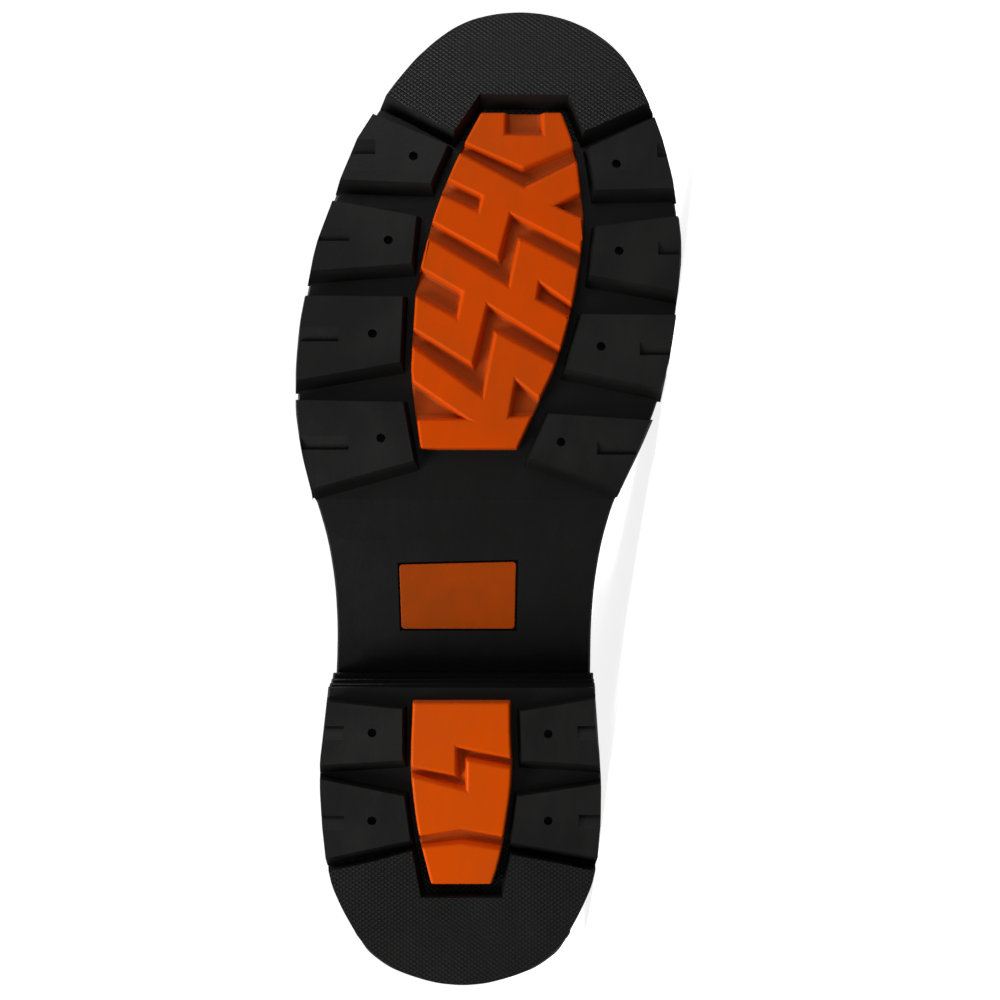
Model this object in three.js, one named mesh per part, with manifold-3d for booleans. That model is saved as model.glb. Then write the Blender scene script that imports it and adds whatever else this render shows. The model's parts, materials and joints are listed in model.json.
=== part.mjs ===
// Biker boot for the right foot: a pull-on boot of the engineer pattern on a lugged rubber sole.
// Each piece is shaped on a standing boot: X from heel to toe, Y to the inner side, Z up from the floor.
// The whole boot is then laid on its inner side: X to the toe, Y from sole to collar, Z up.
// Lengths are millimetres. A table's along and rise are shares of a length, its widths of the ball width.

import * as THREE from "three";
import { ConvexHull } from "three/addons/math/ConvexHull.js";
import { mergeVertices } from "three/addons/utils/BufferGeometryUtils.js";
import Module from "manifold-3d";

const wasm = await Module();
wasm.setup();

// Driving sizes of the sole
const SOLE_LENGTH = 308;
const BALL_WIDTH = 119.5;
const TOE_SPRING = 8;
const LUG_DEPTH = 6;
const OUTSOLE_PLATE = 5;
const HEEL_HEIGHT = 27;
const MIDSOLE = 3.5;
const WELT = 3.2;
const WELT_REACH = 12;
const INSOLE = 3;
const SIDE_STEP = 0.7;
const LUG_SLOPE = 0.22;
const LUG_LEAN = 0.14;
const RIM_REACH = 0.15;
const CHANNEL_SLOPE = 0.28;
const CHANNEL_DEPTH = 3.8;
const CHANNEL_ROOM = 1.5;
const PIN_RADIUS = 1.45;
const PIN_DEPTH = 4;
const SIPE_DEPTH = 1.6;
const SIPE_LENGTH = 4.4;
const ARCH_PLATE = 1.8;
const HEEL_LIFTS = 4;

// Driving sizes of the upper
const COLLAR_HEIGHT = 280;
const COLLAR_TILT = 6;
const LEATHER = 2.4;
const FEATHER_INSET = 6;
const COLLAR_BAND = 1.5;
const OVERLAY = 1.5;
const STRAP_THICKNESS = 2.4;
const STRAP_WIDTH = 25;
const TAIL_WIDTH = 20;
const STRIP_WIDTH = 14;
const KEEPER_WIDTH = 8;
const TAIL_TIP = 10;
const BUCKLE_BAR = 3.4;
const BUCKLE_LENGTH = 31;
const FRAME_CORNER = 4;
const ROLLER_RADIUS = 2.5;
const PRONG_RADIUS = 1.3;

// Clearance between pieces that touch, and how finely round forms are cut
const GAP = 0.3;
const SOLE_STEPS = 34;
const HEEL_STEPS = 11;
const INSERT_STEPS = 13;
const RING_STEPS = 34;
const RINGS = 15;

// Places along the sole, as shares of its length
const SPRING_START = 0.72;
const ARCH_FRONT = 0.53;
const ARCH_REAR = 0.22;
const BREAST = 0.303;
const BREAST_STEPS = [0, 0.002, 0.005, 0.01];

// Half-widths of the sole on its outer and inner side
const SOLE_OUTLINE = [
  { along: 0, outer: 0, inner: 0 },
  { along: 0.008, outer: 0.101, inner: 0.098 },
  { along: 0.038, outer: 0.251, inner: 0.249 },
  { along: 0.087, outer: 0.331, inner: 0.325 },
  { along: 0.124, outer: 0.36, inner: 0.355 },
  { along: 0.186, outer: 0.376, inner: 0.363 },
  { along: 0.235, outer: 0.378, inner: 0.36 },
  { along: 0.284, outer: 0.367, inner: 0.353 },
  { along: 0.303, outer: 0.362, inner: 0.354 },
  { along: 0.344, outer: 0.354, inner: 0.352 },
  { along: 0.395, outer: 0.353, inner: 0.356 },
  { along: 0.445, outer: 0.365, inner: 0.372 },
  { along: 0.482, outer: 0.388, inner: 0.396 },
  { along: 0.518, outer: 0.414, inner: 0.427 },
  { along: 0.555, outer: 0.429, inner: 0.471 },
  { along: 0.605, outer: 0.437, inner: 0.516 },
  { along: 0.666, outer: 0.431, inner: 0.558 },
  { along: 0.716, outer: 0.408, inner: 0.566 },
  { along: 0.765, outer: 0.381, inner: 0.572 },
  { along: 0.814, outer: 0.333, inner: 0.556 },
  { along: 0.863, outer: 0.288, inner: 0.532 },
  { along: 0.913, outer: 0.204, inner: 0.484 },
  { along: 0.95, outer: 0.127, inner: 0.429 },
  { along: 0.975, outer: 0.056, inner: 0.363 },
  { along: 0.99, outer: -0.008, inner: 0.29 },
  { along: 1, outer: -0.151, inner: 0.151 },
];

// Lugs in pairs of edges: front and rear edge at the sole's side (rim) and at the insert (core).
// coreFront and coreRear are places across, outer side positive; pin and sipe are each lug's own.
const FOREFOOT_LUGS = [
  { rimFront: 0.893, front: 0.862, rear: 0.822, rimRear: 0.826, coreFront: 0.042, coreRear: 0.085,
    pin: 0.851, pinAcross: 0.131, sipe: 0.853, sipeCore: 0.228 },
  { rimFront: 0.805, front: 0.789, rear: 0.74, rimRear: 0.732, coreFront: 0.124, coreRear: 0.136,
    pin: 0.764, pinAcross: 0.195, sipe: 0.763, sipeCore: 0.293 },
  { rimFront: 0.707, front: 0.706, rear: 0.639, rimRear: 0.62, coreFront: 0.159, coreRear: 0.167,
    pin: 0.668, pinAcross: 0.236, sipe: 0.66, sipeCore: 0.322 },
  { rimFront: 0.6, front: 0.598, rear: 0.538, rimRear: 0.508, coreFront: 0.159, coreRear: 0.13,
    pin: 0.561, pinAcross: 0.216, sipe: 0.549, sipeCore: 0.299 },
  { rimFront: 0.89, front: 0.859, rear: 0.815, rimRear: 0.817, coreFront: -0.333, coreRear: -0.35,
    pin: 0.843, pinAcross: -0.404, sipe: 0.85, sipeCore: -0.508 },
  { rimFront: 0.789, front: 0.778, rear: 0.728, rimRear: 0.711, coreFront: -0.352, coreRear: -0.336,
    pin: 0.753, pinAcross: -0.409, sipe: 0.749, sipeCore: -0.508 },
  { rimFront: 0.687, front: 0.688, rear: 0.632, rimRear: 0.611, coreFront: -0.315, coreRear: -0.273,
    pin: 0.655, pinAcross: -0.362, sipe: 0.646, sipeCore: -0.46 },
  { rimFront: 0.579, front: 0.586, rear: 0.541, rimRear: 0.509, coreFront: -0.228, coreRear: -0.175,
    pin: 0.557, pinAcross: -0.259, sipe: 0.544, sipeCore: -0.352 },
];
const HEEL_LUGS = [
  { rimFront: 0.291, front: 0.283, rear: 0.231, rimRear: 0.226, coreFront: 0.161, coreRear: 0.161,
    pin: 0.259, pinAcross: 0.24, sipe: 0.266, sipeCore: 0.315 },
  { rimFront: 0.212, front: 0.194, rear: 0.149, rimRear: 0.13, coreFront: 0.156, coreRear: 0.14,
    pin: 0.169, pinAcross: 0.24, sipe: 0.174, sipeCore: 0.31 },
  { rimFront: 0.294, front: 0.281, rear: 0.231, rimRear: 0.226, coreFront: -0.154, coreRear: -0.159,
    pin: 0.258, pinAcross: -0.225, sipe: 0.266, sipeCore: -0.302 },
  { rimFront: 0.207, front: 0.194, rear: 0.147, rimRear: 0.131, coreFront: -0.146, coreRear: -0.13,
    pin: 0.169, pinAcross: -0.225, sipe: 0.175, sipeCore: -0.302 },
];
// The lug around the toe and the one around the back of the heel, as corners: along, across
const TOE_LUG = [
  [0.952, 0.4], [0.872, 0.024], [0.911, -0.045], [0.91, -0.28], [0.872, -0.318], [0.939, -0.7],
  [1.1, -0.7], [1.1, 0.4],
];
const REAR_LUG = [
  [0.112, 0.5], [0.118, 0.34], [0.126, 0.246], [0.138, 0.135], [0.09, 0.111], [0.09, -0.105],
  [0.134, -0.13], [0.125, -0.257], [0.117, -0.344], [0.111, -0.5], [-0.1, -0.5], [-0.1, 0.5],
];

// Edges of the tread inserts
const FOREFOOT_INSERT = [
  { along: 0.551, outer: 0.111, inner: 0.143 },
  { along: 0.568, outer: 0.116, inner: 0.164 },
  { along: 0.6, outer: 0.128, inner: 0.2 },
  { along: 0.631, outer: 0.135, inner: 0.238 },
  { along: 0.669, outer: 0.13, inner: 0.27 },
  { along: 0.714, outer: 0.122, inner: 0.296 },
  { along: 0.755, outer: 0.098, inner: 0.312 },
  { along: 0.783, outer: 0.08, inner: 0.317 },
  { along: 0.818, outer: 0.048, inner: 0.309 },
  { along: 0.851, outer: 0.011, inner: 0.298 },
  { along: 0.878, outer: -0.024, inner: 0.278 },
  { along: 0.896, outer: -0.05, inner: 0.259 },
];
const HEEL_INSERT = [
  { along: 0.104, outer: 0.083, inner: 0.075 },
  { along: 0.126, outer: 0.098, inner: 0.093 },
  { along: 0.157, outer: 0.117, inner: 0.108 },
  { along: 0.197, outer: 0.131, inner: 0.123 },
  { along: 0.228, outer: 0.136, inner: 0.127 },
  { along: 0.257, outer: 0.135, inner: 0.124 },
  { along: 0.289, outer: 0.131, inner: 0.123 },
];
// Channels cut into the inserts, as corners: along, across
const FOREFOOT_CHANNELS = {
  chevron: [[0.873, 0.034], [0.839, -0.159], [0.869, -0.336], [0.852, -0.336], [0.819, -0.164],
    [0.862, 0.048]],
  zigzagFront: [[0.791, 0.114], [0.746, -0.093], [0.793, -0.124], [0.749, -0.341], [0.727, -0.341],
    [0.765, -0.151], [0.716, -0.122], [0.773, 0.124]],
  zigzagRear: [[0.682, 0.167], [0.637, -0.024], [0.699, -0.064], [0.644, -0.296], [0.626, -0.296],
    [0.669, -0.087], [0.602, -0.053], [0.664, 0.167]],
  slotOuterFront: [[0.834, 0.071], [0.81, -0.053], [0.793, -0.041], [0.817, 0.093]],
  slotInnerFront: [[0.8, -0.238], [0.82, -0.341], [0.782, -0.341], [0.795, -0.262]],
  slotOuterMiddle: [[0.744, 0.146], [0.711, -0.001], [0.683, 0.015], [0.711, 0.146]],
  slotInnerMiddle: [[0.722, -0.201], [0.69, -0.32], [0.676, -0.32], [0.703, -0.193]],
  slotOuterRear: [[0.626, 0.156], [0.579, -0.02], [0.579, 0.156]],
  slotInnerRear: [[0.622, -0.138], [0.595, -0.225], [0.584, -0.225], [0.581, -0.119]],
  toeNotch: [[0.915, -0.112], [0.874, -0.112], [0.874, -0.212], [0.915, -0.212]],
};
const HEEL_CHANNELS = {
  step: [[0.227, 0.167], [0.216, 0.019], [0.245, 0.019], [0.232, -0.151], [0.22, -0.151],
    [0.23, -0.012], [0.199, -0.011], [0.217, 0.167]],
  chevron: [[0.15, 0.167], [0.161, 0.008], [0.15, -0.151], [0.136, -0.151], [0.145, 0.005],
    [0.138, 0.167]],
};
const ARCH_PLATE_CORNERS = [[0.432, 0.179], [0.435, -0.147], [0.359, -0.143], [0.359, 0.176]];

// Rings of the upper from feather edge to collar. back and front are places along the sole,
// backRise and frontRise shares of the rise from seat to collar; heel, waist, ball and toe are
// half-widths at four places around the ring, and lean is how far the toe end leans inward.
const UPPER_RINGS = [
  { along: 0, back: 0.026, front: 0.979, backRise: 0, frontRise: 0,
    heel: 0.276, waist: 0.293, ball: 0.427, toe: 0.259, lean: 0.15 },
  { along: 0.06, back: 0.015, front: 0.987, backRise: 0.045, frontRise: 0.048,
    heel: 0.297, waist: 0.314, ball: 0.452, toe: 0.285, lean: 0.15 },
  { along: 0.13, back: 0.012, front: 0.965, backRise: 0.102, frontRise: 0.118,
    heel: 0.293, waist: 0.31, ball: 0.438, toe: 0.28, lean: 0.145 },
  { along: 0.21, back: 0.017, front: 0.9, backRise: 0.16, frontRise: 0.172,
    heel: 0.285, waist: 0.305, ball: 0.408, toe: 0.262, lean: 0.135 },
  { along: 0.29, back: 0.027, front: 0.813, backRise: 0.215, frontRise: 0.21,
    heel: 0.274, waist: 0.301, ball: 0.377, toe: 0.25, lean: 0.115 },
  { along: 0.37, back: 0.038, front: 0.722, backRise: 0.27, frontRise: 0.25,
    heel: 0.26, waist: 0.297, ball: 0.347, toe: 0.232, lean: 0.09 },
  { along: 0.45, back: 0.045, front: 0.632, backRise: 0.328, frontRise: 0.308,
    heel: 0.243, waist: 0.295, ball: 0.322, toe: 0.208, lean: 0.06 },
  { along: 0.53, back: 0.047, front: 0.554, backRise: 0.393, frontRise: 0.393,
    heel: 0.232, waist: 0.305, ball: 0.31, toe: 0.182, lean: 0.03 },
  { along: 0.61, back: 0.042, front: 0.502, backRise: 0.48, frontRise: 0.5,
    heel: 0.228, waist: 0.33, ball: 0.318, toe: 0.17, lean: 0.01 },
  { along: 0.72, back: 0.033, front: 0.475, backRise: 0.615, frontRise: 0.635,
    heel: 0.24, waist: 0.368, ball: 0.343, toe: 0.182, lean: 0 },
  { along: 0.86, back: 0.023, front: 0.463, backRise: 0.81, frontRise: 0.82,
    heel: 0.257, waist: 0.4, ball: 0.368, toe: 0.2, lean: 0 },
  { along: 1, back: 0.016, front: 0.458, backRise: 1, frontRise: 1,
    heel: 0.268, waist: 0.418, ball: 0.385, toe: 0.21, lean: 0 },
];
const RING_STATIONS = { heel: 0.2, waist: 0.42, ball: 0.66, toe: 0.85 };
const OUTLINE_FADE = 0.14;
const COLLAR_BAND_START = 0.945;
const COLLAR_BAND_STEP = 0.004;

// Places of the overlays in the side view: along the sole, and up as a share of the collar's height
const COUNTER_EDGE = [
  [-0.1, 0.08], [0.3, 0.08], [0.29, 0.2], [0.24, 0.245], [0.16, 0.285], [0.08, 0.312], [-0.1, 0.32],
];
const INSTEP_STRAP = { back: 0.03, backUp: 0.385, front: 0.58, frontUp: 0.462, buckle: 0.3 };
const TOP_STRAP = { back: 0.02, backUp: 0.865, front: 0.46, frontUp: 0.88, buckle: 0.2 };
const SIDE_STRIP = { foot: 0.255, footUp: 0.49, top: 0.235, innerUp: 0.91, outerUp: 0.815 };
const BACKSTAY = { foot: 0.45, top: 0.91 };
// How far past the buckle the strap's free end and its keeper are, in buckle lengths, and the free
// end's tip: shares of its length and of the strap's half-width
const TAIL_REACH = 1.25;
const KEEPER_REACH = 0.85;
const TIP_SHAPE = [[0.7, -0.55], [1, 0], [0.7, 0.55]];

const MATERIALS = {
  black_rubber: new THREE.MeshStandardMaterial({ color: 0x1b1b1b, roughness: 0.62, metalness: 0 }),
  orange_rubber: new THREE.MeshStandardMaterial({ color: 0xb9440c, roughness: 0.5, metalness: 0 }),
  black_leather: new THREE.MeshStandardMaterial({ color: 0x15130f, roughness: 0.42, metalness: 0 }),
  insole_leather: new THREE.MeshStandardMaterial({ color: 0x8a6a48, roughness: 0.8, metalness: 0 }),
  steel: new THREE.MeshStandardMaterial({ color: 0xb8b8b6, roughness: 0.3, metalness: 1 }),
};

const mix = (a, b, share) => a + (b - a) * share;
const ease = (share) => {
  const s = THREE.MathUtils.clamp(share, 0, 1);
  return s * s * (3 - 2 * s);
};

// A smooth curve through one column of a table whose rows are in order of along.
function smooth(rows, column, along) {
  const last = rows.length - 1;
  if (along <= rows[0].along) return rows[0][column];
  if (along >= rows[last].along) return rows[last][column];
  const i = rows.findIndex((row) => row.along > along) - 1;
  const slope = (j) => {
    const before = rows[Math.max(j - 1, 0)];
    const after = rows[Math.min(j + 1, last)];
    return (after[column] - before[column]) / (after.along - before.along);
  };
  const span = rows[i + 1].along - rows[i].along;
  const u = (along - rows[i].along) / span;
  const a = rows[i][column];
  const b = rows[i + 1][column];
  return (
    a * (1 + 2 * u) * (1 - u) ** 2 +
    slope(i) * span * u * (1 - u) ** 2 +
    b * u * u * (3 - 2 * u) +
    slope(i + 1) * span * u * u * (u - 1)
  );
}

// A place along a length with round ends: turn runs from 0 to 1 and slows down at both ends.
const alongOf = (turn) => (1 - Math.cos(Math.PI * turn)) / 2;
const turnOf = (along) => Math.acos(1 - 2 * along) / Math.PI;

// Height of the lugs' faces, of the plate's underside and of each layer above it
const groundAt = (x) => {
  const u = Math.max(x / SOLE_LENGTH - SPRING_START, 0) / (1 - SPRING_START);
  return TOE_SPRING * u * u;
};
const plateAt = (x) => {
  const climb = ease((ARCH_FRONT - x / SOLE_LENGTH) / (ARCH_FRONT - ARCH_REAR));
  return groundAt(x) + mix(LUG_DEPTH, HEEL_HEIGHT, climb);
};
const midsoleAt = (x) => plateAt(x) + OUTSOLE_PLATE + GAP;
const weltAt = (x) => midsoleAt(x) + MIDSOLE + GAP;
const seatAt = (x) => weltAt(x) + WELT + GAP;

// A closed body from corners and faces; equal corners are merged and faces that vanish are dropped.
function closedBody(corners, faces) {
  const positions = [];
  for (const face of faces)
    for (let i = 1; i + 1 < face.length; i += 1)
      for (const corner of [face[0], face[i], face[i + 1]]) positions.push(...corners[corner]);
  const soup = new THREE.BufferGeometry();
  soup.setAttribute("position", new THREE.Float32BufferAttribute(positions, 3));
  return solidOf(soup);
}

function solidOf(geometry) {
  const bare = geometry.clone();
  bare.deleteAttribute("normal");
  bare.deleteAttribute("uv");
  const merged = mergeVertices(bare, 1e-4);
  const at = merged.attributes.position.array;
  const kept = [];
  let volume = 0;
  for (let i = 0; i < merged.index.count; i += 3) {
    const [a, b, c] = [0, 1, 2].map((j) => merged.index.getX(i + j));
    if (a === b || b === c || c === a) continue;
    kept.push(a, b, c);
    const [p, q, r] = [a, b, c].map((j) => new THREE.Vector3().fromArray(at, j * 3));
    volume += p.dot(q.cross(r));
  }
  if (volume < 0) kept.reverse();
  return new wasm.Manifold(
    new wasm.Mesh({ numProp: 3, vertProperties: at, triVerts: new Uint32Array(kept) }),
  );
}

const union = (solids) => solids.reduce((whole, solid) => whole.add(solid));

// A point of the sole's outline; side is 1 on the inner side and -1 on the outer side.
const OUTLINE_BY_TURN = SOLE_OUTLINE.map((row) => ({ ...row, along: turnOf(row.along) }));
function outlinePoint(turn, side, inset) {
  const column = side > 0 ? "inner" : "outer";
  const at = (t) => [
    SOLE_LENGTH * alongOf(t),
    side * smooth(OUTLINE_BY_TURN, column, t) * BALL_WIDTH,
  ];
  const step = 1e-3;
  const [x0, y0] = at(Math.max(turn - step, 0));
  const [x1, y1] = at(Math.min(turn + step, 1));
  const length = Math.hypot(x1 - x0, y1 - y0);
  const [x, y] = at(turn);
  return [x + (side * (y1 - y0) * inset) / length, y - (side * (x1 - x0) * inset) / length];
}

// A slab with the sole's outline, from its layers: each has an inset and a height along the sole.
function slab(layers, { from = 0, to = 1, steps = SOLE_STEPS } = {}) {
  const corners = [];
  const faces = [];
  const turns = Array.from({ length: steps + 1 }, (_, i) => mix(turnOf(from), turnOf(to), i / steps));
  for (const { inset, height } of layers)
    for (const side of [1, -1])
      for (const turn of turns) {
        const [x, y] = outlinePoint(turn, side, inset);
        corners.push([x, y, height(x)]);
      }
  const corner = (layer, side, i) => (layer * 2 + side) * turns.length + i;
  const top = layers.length - 1;
  for (let i = 0; i < steps; i += 1) {
    faces.push([corner(0, 0, i), corner(0, 0, i + 1), corner(0, 1, i + 1), corner(0, 1, i)]);
    faces.push([corner(top, 0, i), corner(top, 1, i), corner(top, 1, i + 1), corner(top, 0, i + 1)]);
    for (let layer = 0; layer < top; layer += 1) {
      const [a, b] = [layer, layer + 1];
      faces.push([corner(a, 0, i), corner(b, 0, i), corner(b, 0, i + 1), corner(a, 0, i + 1)]);
      faces.push([corner(a, 1, i), corner(a, 1, i + 1), corner(b, 1, i + 1), corner(b, 1, i)]);
    }
  }
  for (let layer = 0; layer < top; layer += 1) {
    const [a, b] = [layer, layer + 1];
    faces.push([corner(a, 0, 0), corner(a, 1, 0), corner(b, 1, 0), corner(b, 0, 0)]);
    const end = turns.length - 1;
    faces.push([corner(a, 0, end), corner(b, 0, end), corner(b, 1, end), corner(a, 1, end)]);
  }
  return closedBody(corners, faces);
}

// Plan corners in millimetres from a table of along and across
const planOf = (table) =>
  table.map(([along, across]) => new THREE.Vector2(along * SOLE_LENGTH, -across * BALL_WIDTH));

function grown(points, amount) {
  const turn = THREE.ShapeUtils.isClockWise(points) ? -1 : 1;
  return points.map((point, i) => {
    const before = points[(i + points.length - 1) % points.length];
    const after = points[(i + 1) % points.length];
    const a = point.clone().sub(before).normalize();
    const b = after.clone().sub(point).normalize();
    const normal = new THREE.Vector2(a.y + b.y, -a.x - b.x).multiplyScalar(turn);
    return point.clone().addScaledVector(normal, amount / (1 + a.dot(b)));
  });
}

// A body between two like polygons, the faces of ends placed by the two given functions.
function bridge(lowPlan, highPlan, low, high) {
  const corners = [...lowPlan.map(low), ...highPlan.map(high)];
  const n = lowPlan.length;
  const faces = [];
  for (const [a, b, c] of THREE.ShapeUtils.triangulateShape(lowPlan, [])) {
    faces.push([c, b, a], [a + n, b + n, c + n]);
  }
  const turn = THREE.ShapeUtils.isClockWise(lowPlan);
  for (let i = 0; i < n; i += 1) {
    const j = (i + 1) % n;
    faces.push(turn ? [j, i, i + n, j + n] : [i, j, j + n, i + n]);
  }
  return closedBody(corners, faces);
}

// An upright block whose plan is true at the height base. For each millimetre up it grows by slope
// and moves toward the heel by lean.
function block(plan, base, low, high, slope, lean = 0) {
  return bridge(
    grown(plan, slope * (low - base)),
    grown(plan, slope * (high - base)),
    ({ x, y }) => [x - lean * (low - base), y, low],
    ({ x, y }) => [x - lean * (high - base), y, high],
  );
}

// A block through the whole boot from side to side, with its outline in the side view
function sideBlock(points, nearY, farY) {
  const outline = points.map(([x, z]) => new THREE.Vector2(x, z));
  return bridge(outline, outline, ({ x, y }) => [x, nearY, y], ({ x, y }) => [x, farY, y]);
}

function cylinder(x, y, radius, low, high, sides = 8) {
  const shaft = new THREE.CylinderGeometry(radius, radius, high - low, sides);
  shaft.rotateX(Math.PI / 2);
  shaft.translate(x, y, (low + high) / 2);
  return solidOf(shaft);
}

const BELOW = -2 * LUG_DEPTH;
const ABOVE = COLLAR_HEIGHT;

// A lug's edges are given where they meet the rim, so they are drawn out past it in the same line.
function lugCorners(row) {
  const side = Math.sign(row.coreFront);
  const rimAt = (along) => side * smooth(SOLE_OUTLINE, side > 0 ? "outer" : "inner", along);
  const past = (along, across, rimAlong) => {
    const rim = rimAt(rimAlong);
    const reach = (rim + side * RIM_REACH - across) / (rim - across);
    return [mix(along, rimAlong, reach), mix(across, rim, reach)];
  };
  return [
    past(row.front, row.coreFront, row.rimFront),
    [row.front, row.coreFront],
    [row.rear, row.coreRear],
    past(row.rear, row.coreRear, row.rimRear),
  ];
}

// A shallow saw-tooth cut at a lug's rim: it deepens toward deep and ends there in a step.
function sipe(row, ground, toward) {
  const side = Math.sign(row.coreFront);
  const deepX = row.sipe * SOLE_LENGTH;
  const shallowX = deepX + toward * SIPE_LENGTH;
  const core = -row.sipeCore * BALL_WIDTH;
  const rim = core - side * BALL_WIDTH;
  const section = [
    [deepX, ground(deepX) + SIPE_DEPTH],
    [deepX, BELOW],
    [shallowX, BELOW],
    [shallowX, ground(shallowX)],
  ];
  return sideBlock(section, Math.min(core, rim), Math.max(core, rim));
}

const lugEdge = (top) => [
  { inset: SIDE_STEP, height: groundAt },
  { inset: 0, height: top },
];

function treadOf(rows, extra, top, heel) {
  const plans = [...rows.map(lugCorners), extra].map(planOf);
  const blocks = plans.map((plan) => {
    const middle = plan.reduce((sum, point) => sum + Math.min(point.x, SOLE_LENGTH), 0) / plan.length;
    const base = groundAt(middle);
    return block(plan, base, base - LUG_DEPTH, base + 2 * LUG_DEPTH, LUG_SLOPE, LUG_LEAN);
  });
  const cuts = rows.flatMap((row) => {
    const x = row.pin * SOLE_LENGTH;
    const low = groundAt(x);
    return [
      cylinder(x, -row.pinAcross * BALL_WIDTH, PIN_RADIUS, BELOW, low + PIN_DEPTH),
      sipe(row, groundAt, heel ? -1 : 1),
    ];
  });
  return union(blocks).intersect(slab(lugEdge(top))).subtract(union(cuts));
}

// The side of a sole layer: its lower edge is cut back, which leaves a groove to the layer below.
function sideLayers(inset, low, high) {
  return [
    { inset: inset + SIDE_STEP, height: low },
    { inset, height: (x) => mix(low(x), high(x), 0.3) },
    { inset, height: high },
  ];
}

const insertPlan = (rows) => {
  const first = rows[0].along;
  const last = rows[rows.length - 1].along;
  const edge = (column, sign) =>
    Array.from({ length: INSERT_STEPS + 1 }, (_, i) => {
      const along = mix(first, last, i / INSERT_STEPS);
      return [along, sign * smooth(rows, column, along)];
    });
  return planOf([...edge("outer", 1), ...edge("inner", -1).reverse()]);
};

// A tread insert: its block follows the sole, and channels are cut into its face.
function insert(rows, channels, top) {
  const plan = insertPlan(rows);
  const middle = (rows[0].along + rows[rows.length - 1].along) / 2;
  const body = block(plan, groundAt(middle * SOLE_LENGTH), BELOW, HEEL_HEIGHT, LUG_SLOPE / 2);
  const face = slab([
    { inset: GAP, height: (x) => groundAt(x) + GAP },
    { inset: GAP, height: (x) => top(x) - GAP },
  ]);
  const cutter = slab([
    { inset: -GAP, height: (x) => groundAt(x) - LUG_DEPTH },
    { inset: -GAP, height: (x) => groundAt(x) + GAP + CHANNEL_DEPTH },
  ]);
  const cuts = Object.values(channels).map((table) => {
    const channel = planOf(table);
    const base = groundAt(channel.reduce((sum, { x }) => sum + x, 0) / channel.length);
    return block(channel, base, base - CHANNEL_DEPTH, base + CHANNEL_DEPTH + CHANNEL_ROOM, -CHANNEL_SLOPE);
  });
  return body.intersect(face).subtract(union(cuts).intersect(cutter));
}

function outsole() {
  const plate = slab(sideLayers(SIDE_STEP, plateAt, (x) => plateAt(x) + OUTSOLE_PLATE));
  const tread = treadOf(FOREFOOT_LUGS, TOE_LUG, (x) => plateAt(x) + OUTSOLE_PLATE / 4, false);
  const pocket = block(planOf(ARCH_PLATE_CORNERS), 0, BELOW, ABOVE, 0)
    .intersect(slab([
      { inset: 0, height: (x) => plateAt(x) - LUG_DEPTH },
      { inset: 0, height: (x) => plateAt(x) + ARCH_PLATE },
    ]));
  return plate.add(tread).subtract(pocket);
}

function archPlate() {
  return block(grown(planOf(ARCH_PLATE_CORNERS), -2 * GAP), 0, BELOW, ABOVE, 0)
    .intersect(slab([
      { inset: 0, height: plateAt },
      { inset: 0, height: (x) => plateAt(x) + ARCH_PLATE - GAP },
    ]));
}

// The heel: lifts stacked from the tread up to the plate, each set back a little at the breast.
function heelBlock() {
  const liftAt = (share) => (x) => mix(LUG_DEPTH, plateAt(x) - GAP, share);
  const lifts = Array.from({ length: HEEL_LIFTS }, (_, i) =>
    slab(sideLayers(0, liftAt(i / HEEL_LIFTS), liftAt((i + 1) / HEEL_LIFTS)), {
      to: BREAST + BREAST_STEPS[i],
      steps: HEEL_STEPS,
    }),
  );
  const tread = treadOf(HEEL_LUGS, REAR_LUG, () => LUG_DEPTH + 1, true);
  return union([...lifts, tread]);
}

const midsole = () =>
  slab(sideLayers(SIDE_STEP, midsoleAt, (x) => midsoleAt(x) + MIDSOLE));

function welt() {
  const whole = slab(sideLayers(2 * SIDE_STEP, weltAt, (x) => weltAt(x) + WELT));
  const hole = slab([
    { inset: WELT_REACH, height: (x) => weltAt(x) - WELT },
    { inset: WELT_REACH, height: (x) => weltAt(x) + 2 * WELT },
  ]);
  return whole.subtract(hole);
}

function insole() {
  const narrow = WELT_REACH + GAP;
  const wide = FEATHER_INSET + LEATHER + 5 * GAP;
  return slab([
    { inset: narrow, height: weltAt },
    { inset: narrow, height: seatAt },
    { inset: wide, height: seatAt },
    { inset: wide, height: (x) => seatAt(x) + INSOLE },
  ]);
}

// A point of the upper's surface. climb runs from feather edge to collar, around goes from the back
// along the inner side to the front (1) and back along the outer side (2).
const TURNS = Object.entries(RING_STATIONS);
function formPoint(climb, around) {
  const side = around <= 1 ? 1 : -1;
  const turn = around <= 1 ? around : 2 - around;
  const ring = (column) => smooth(UPPER_RINGS, column, climb);
  const section = [
    { along: 0, half: 0 },
    ...TURNS.map(([name, along]) => ({ along, half: ring(name) })),
    { along: 1, half: 0 },
  ];
  const share = alongOf(turn);
  const ringX = mix(ring("back"), ring("front"), share) * SOLE_LENGTH;
  const ringY = (side * smooth(section, "half", turn) + ring("lean") * share * share) * BALL_WIDTH;
  const [edgeX, edgeY] = outlinePoint(turn, side, FEATHER_INSET);
  const fade = ease(climb / OUTLINE_FADE);
  const x = mix(edgeX, ringX, fade);
  const heelSeat = seatAt(UPPER_RINGS[0].back * SOLE_LENGTH);
  const toeSeat = seatAt(UPPER_RINGS[0].front * SOLE_LENGTH);
  const backZ = mix(heelSeat, COLLAR_HEIGHT, ring("backRise"));
  const frontZ = mix(toeSeat, COLLAR_HEIGHT + COLLAR_TILT, ring("frontRise"));
  const dip = seatAt(x) - mix(heelSeat, toeSeat, share);
  return new THREE.Vector3(
    x,
    mix(edgeY, ringY, fade),
    mix(backZ, frontZ, share) + dip * (1 - ease(climb / (3 * OUTLINE_FADE))),
  );
}

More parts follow.
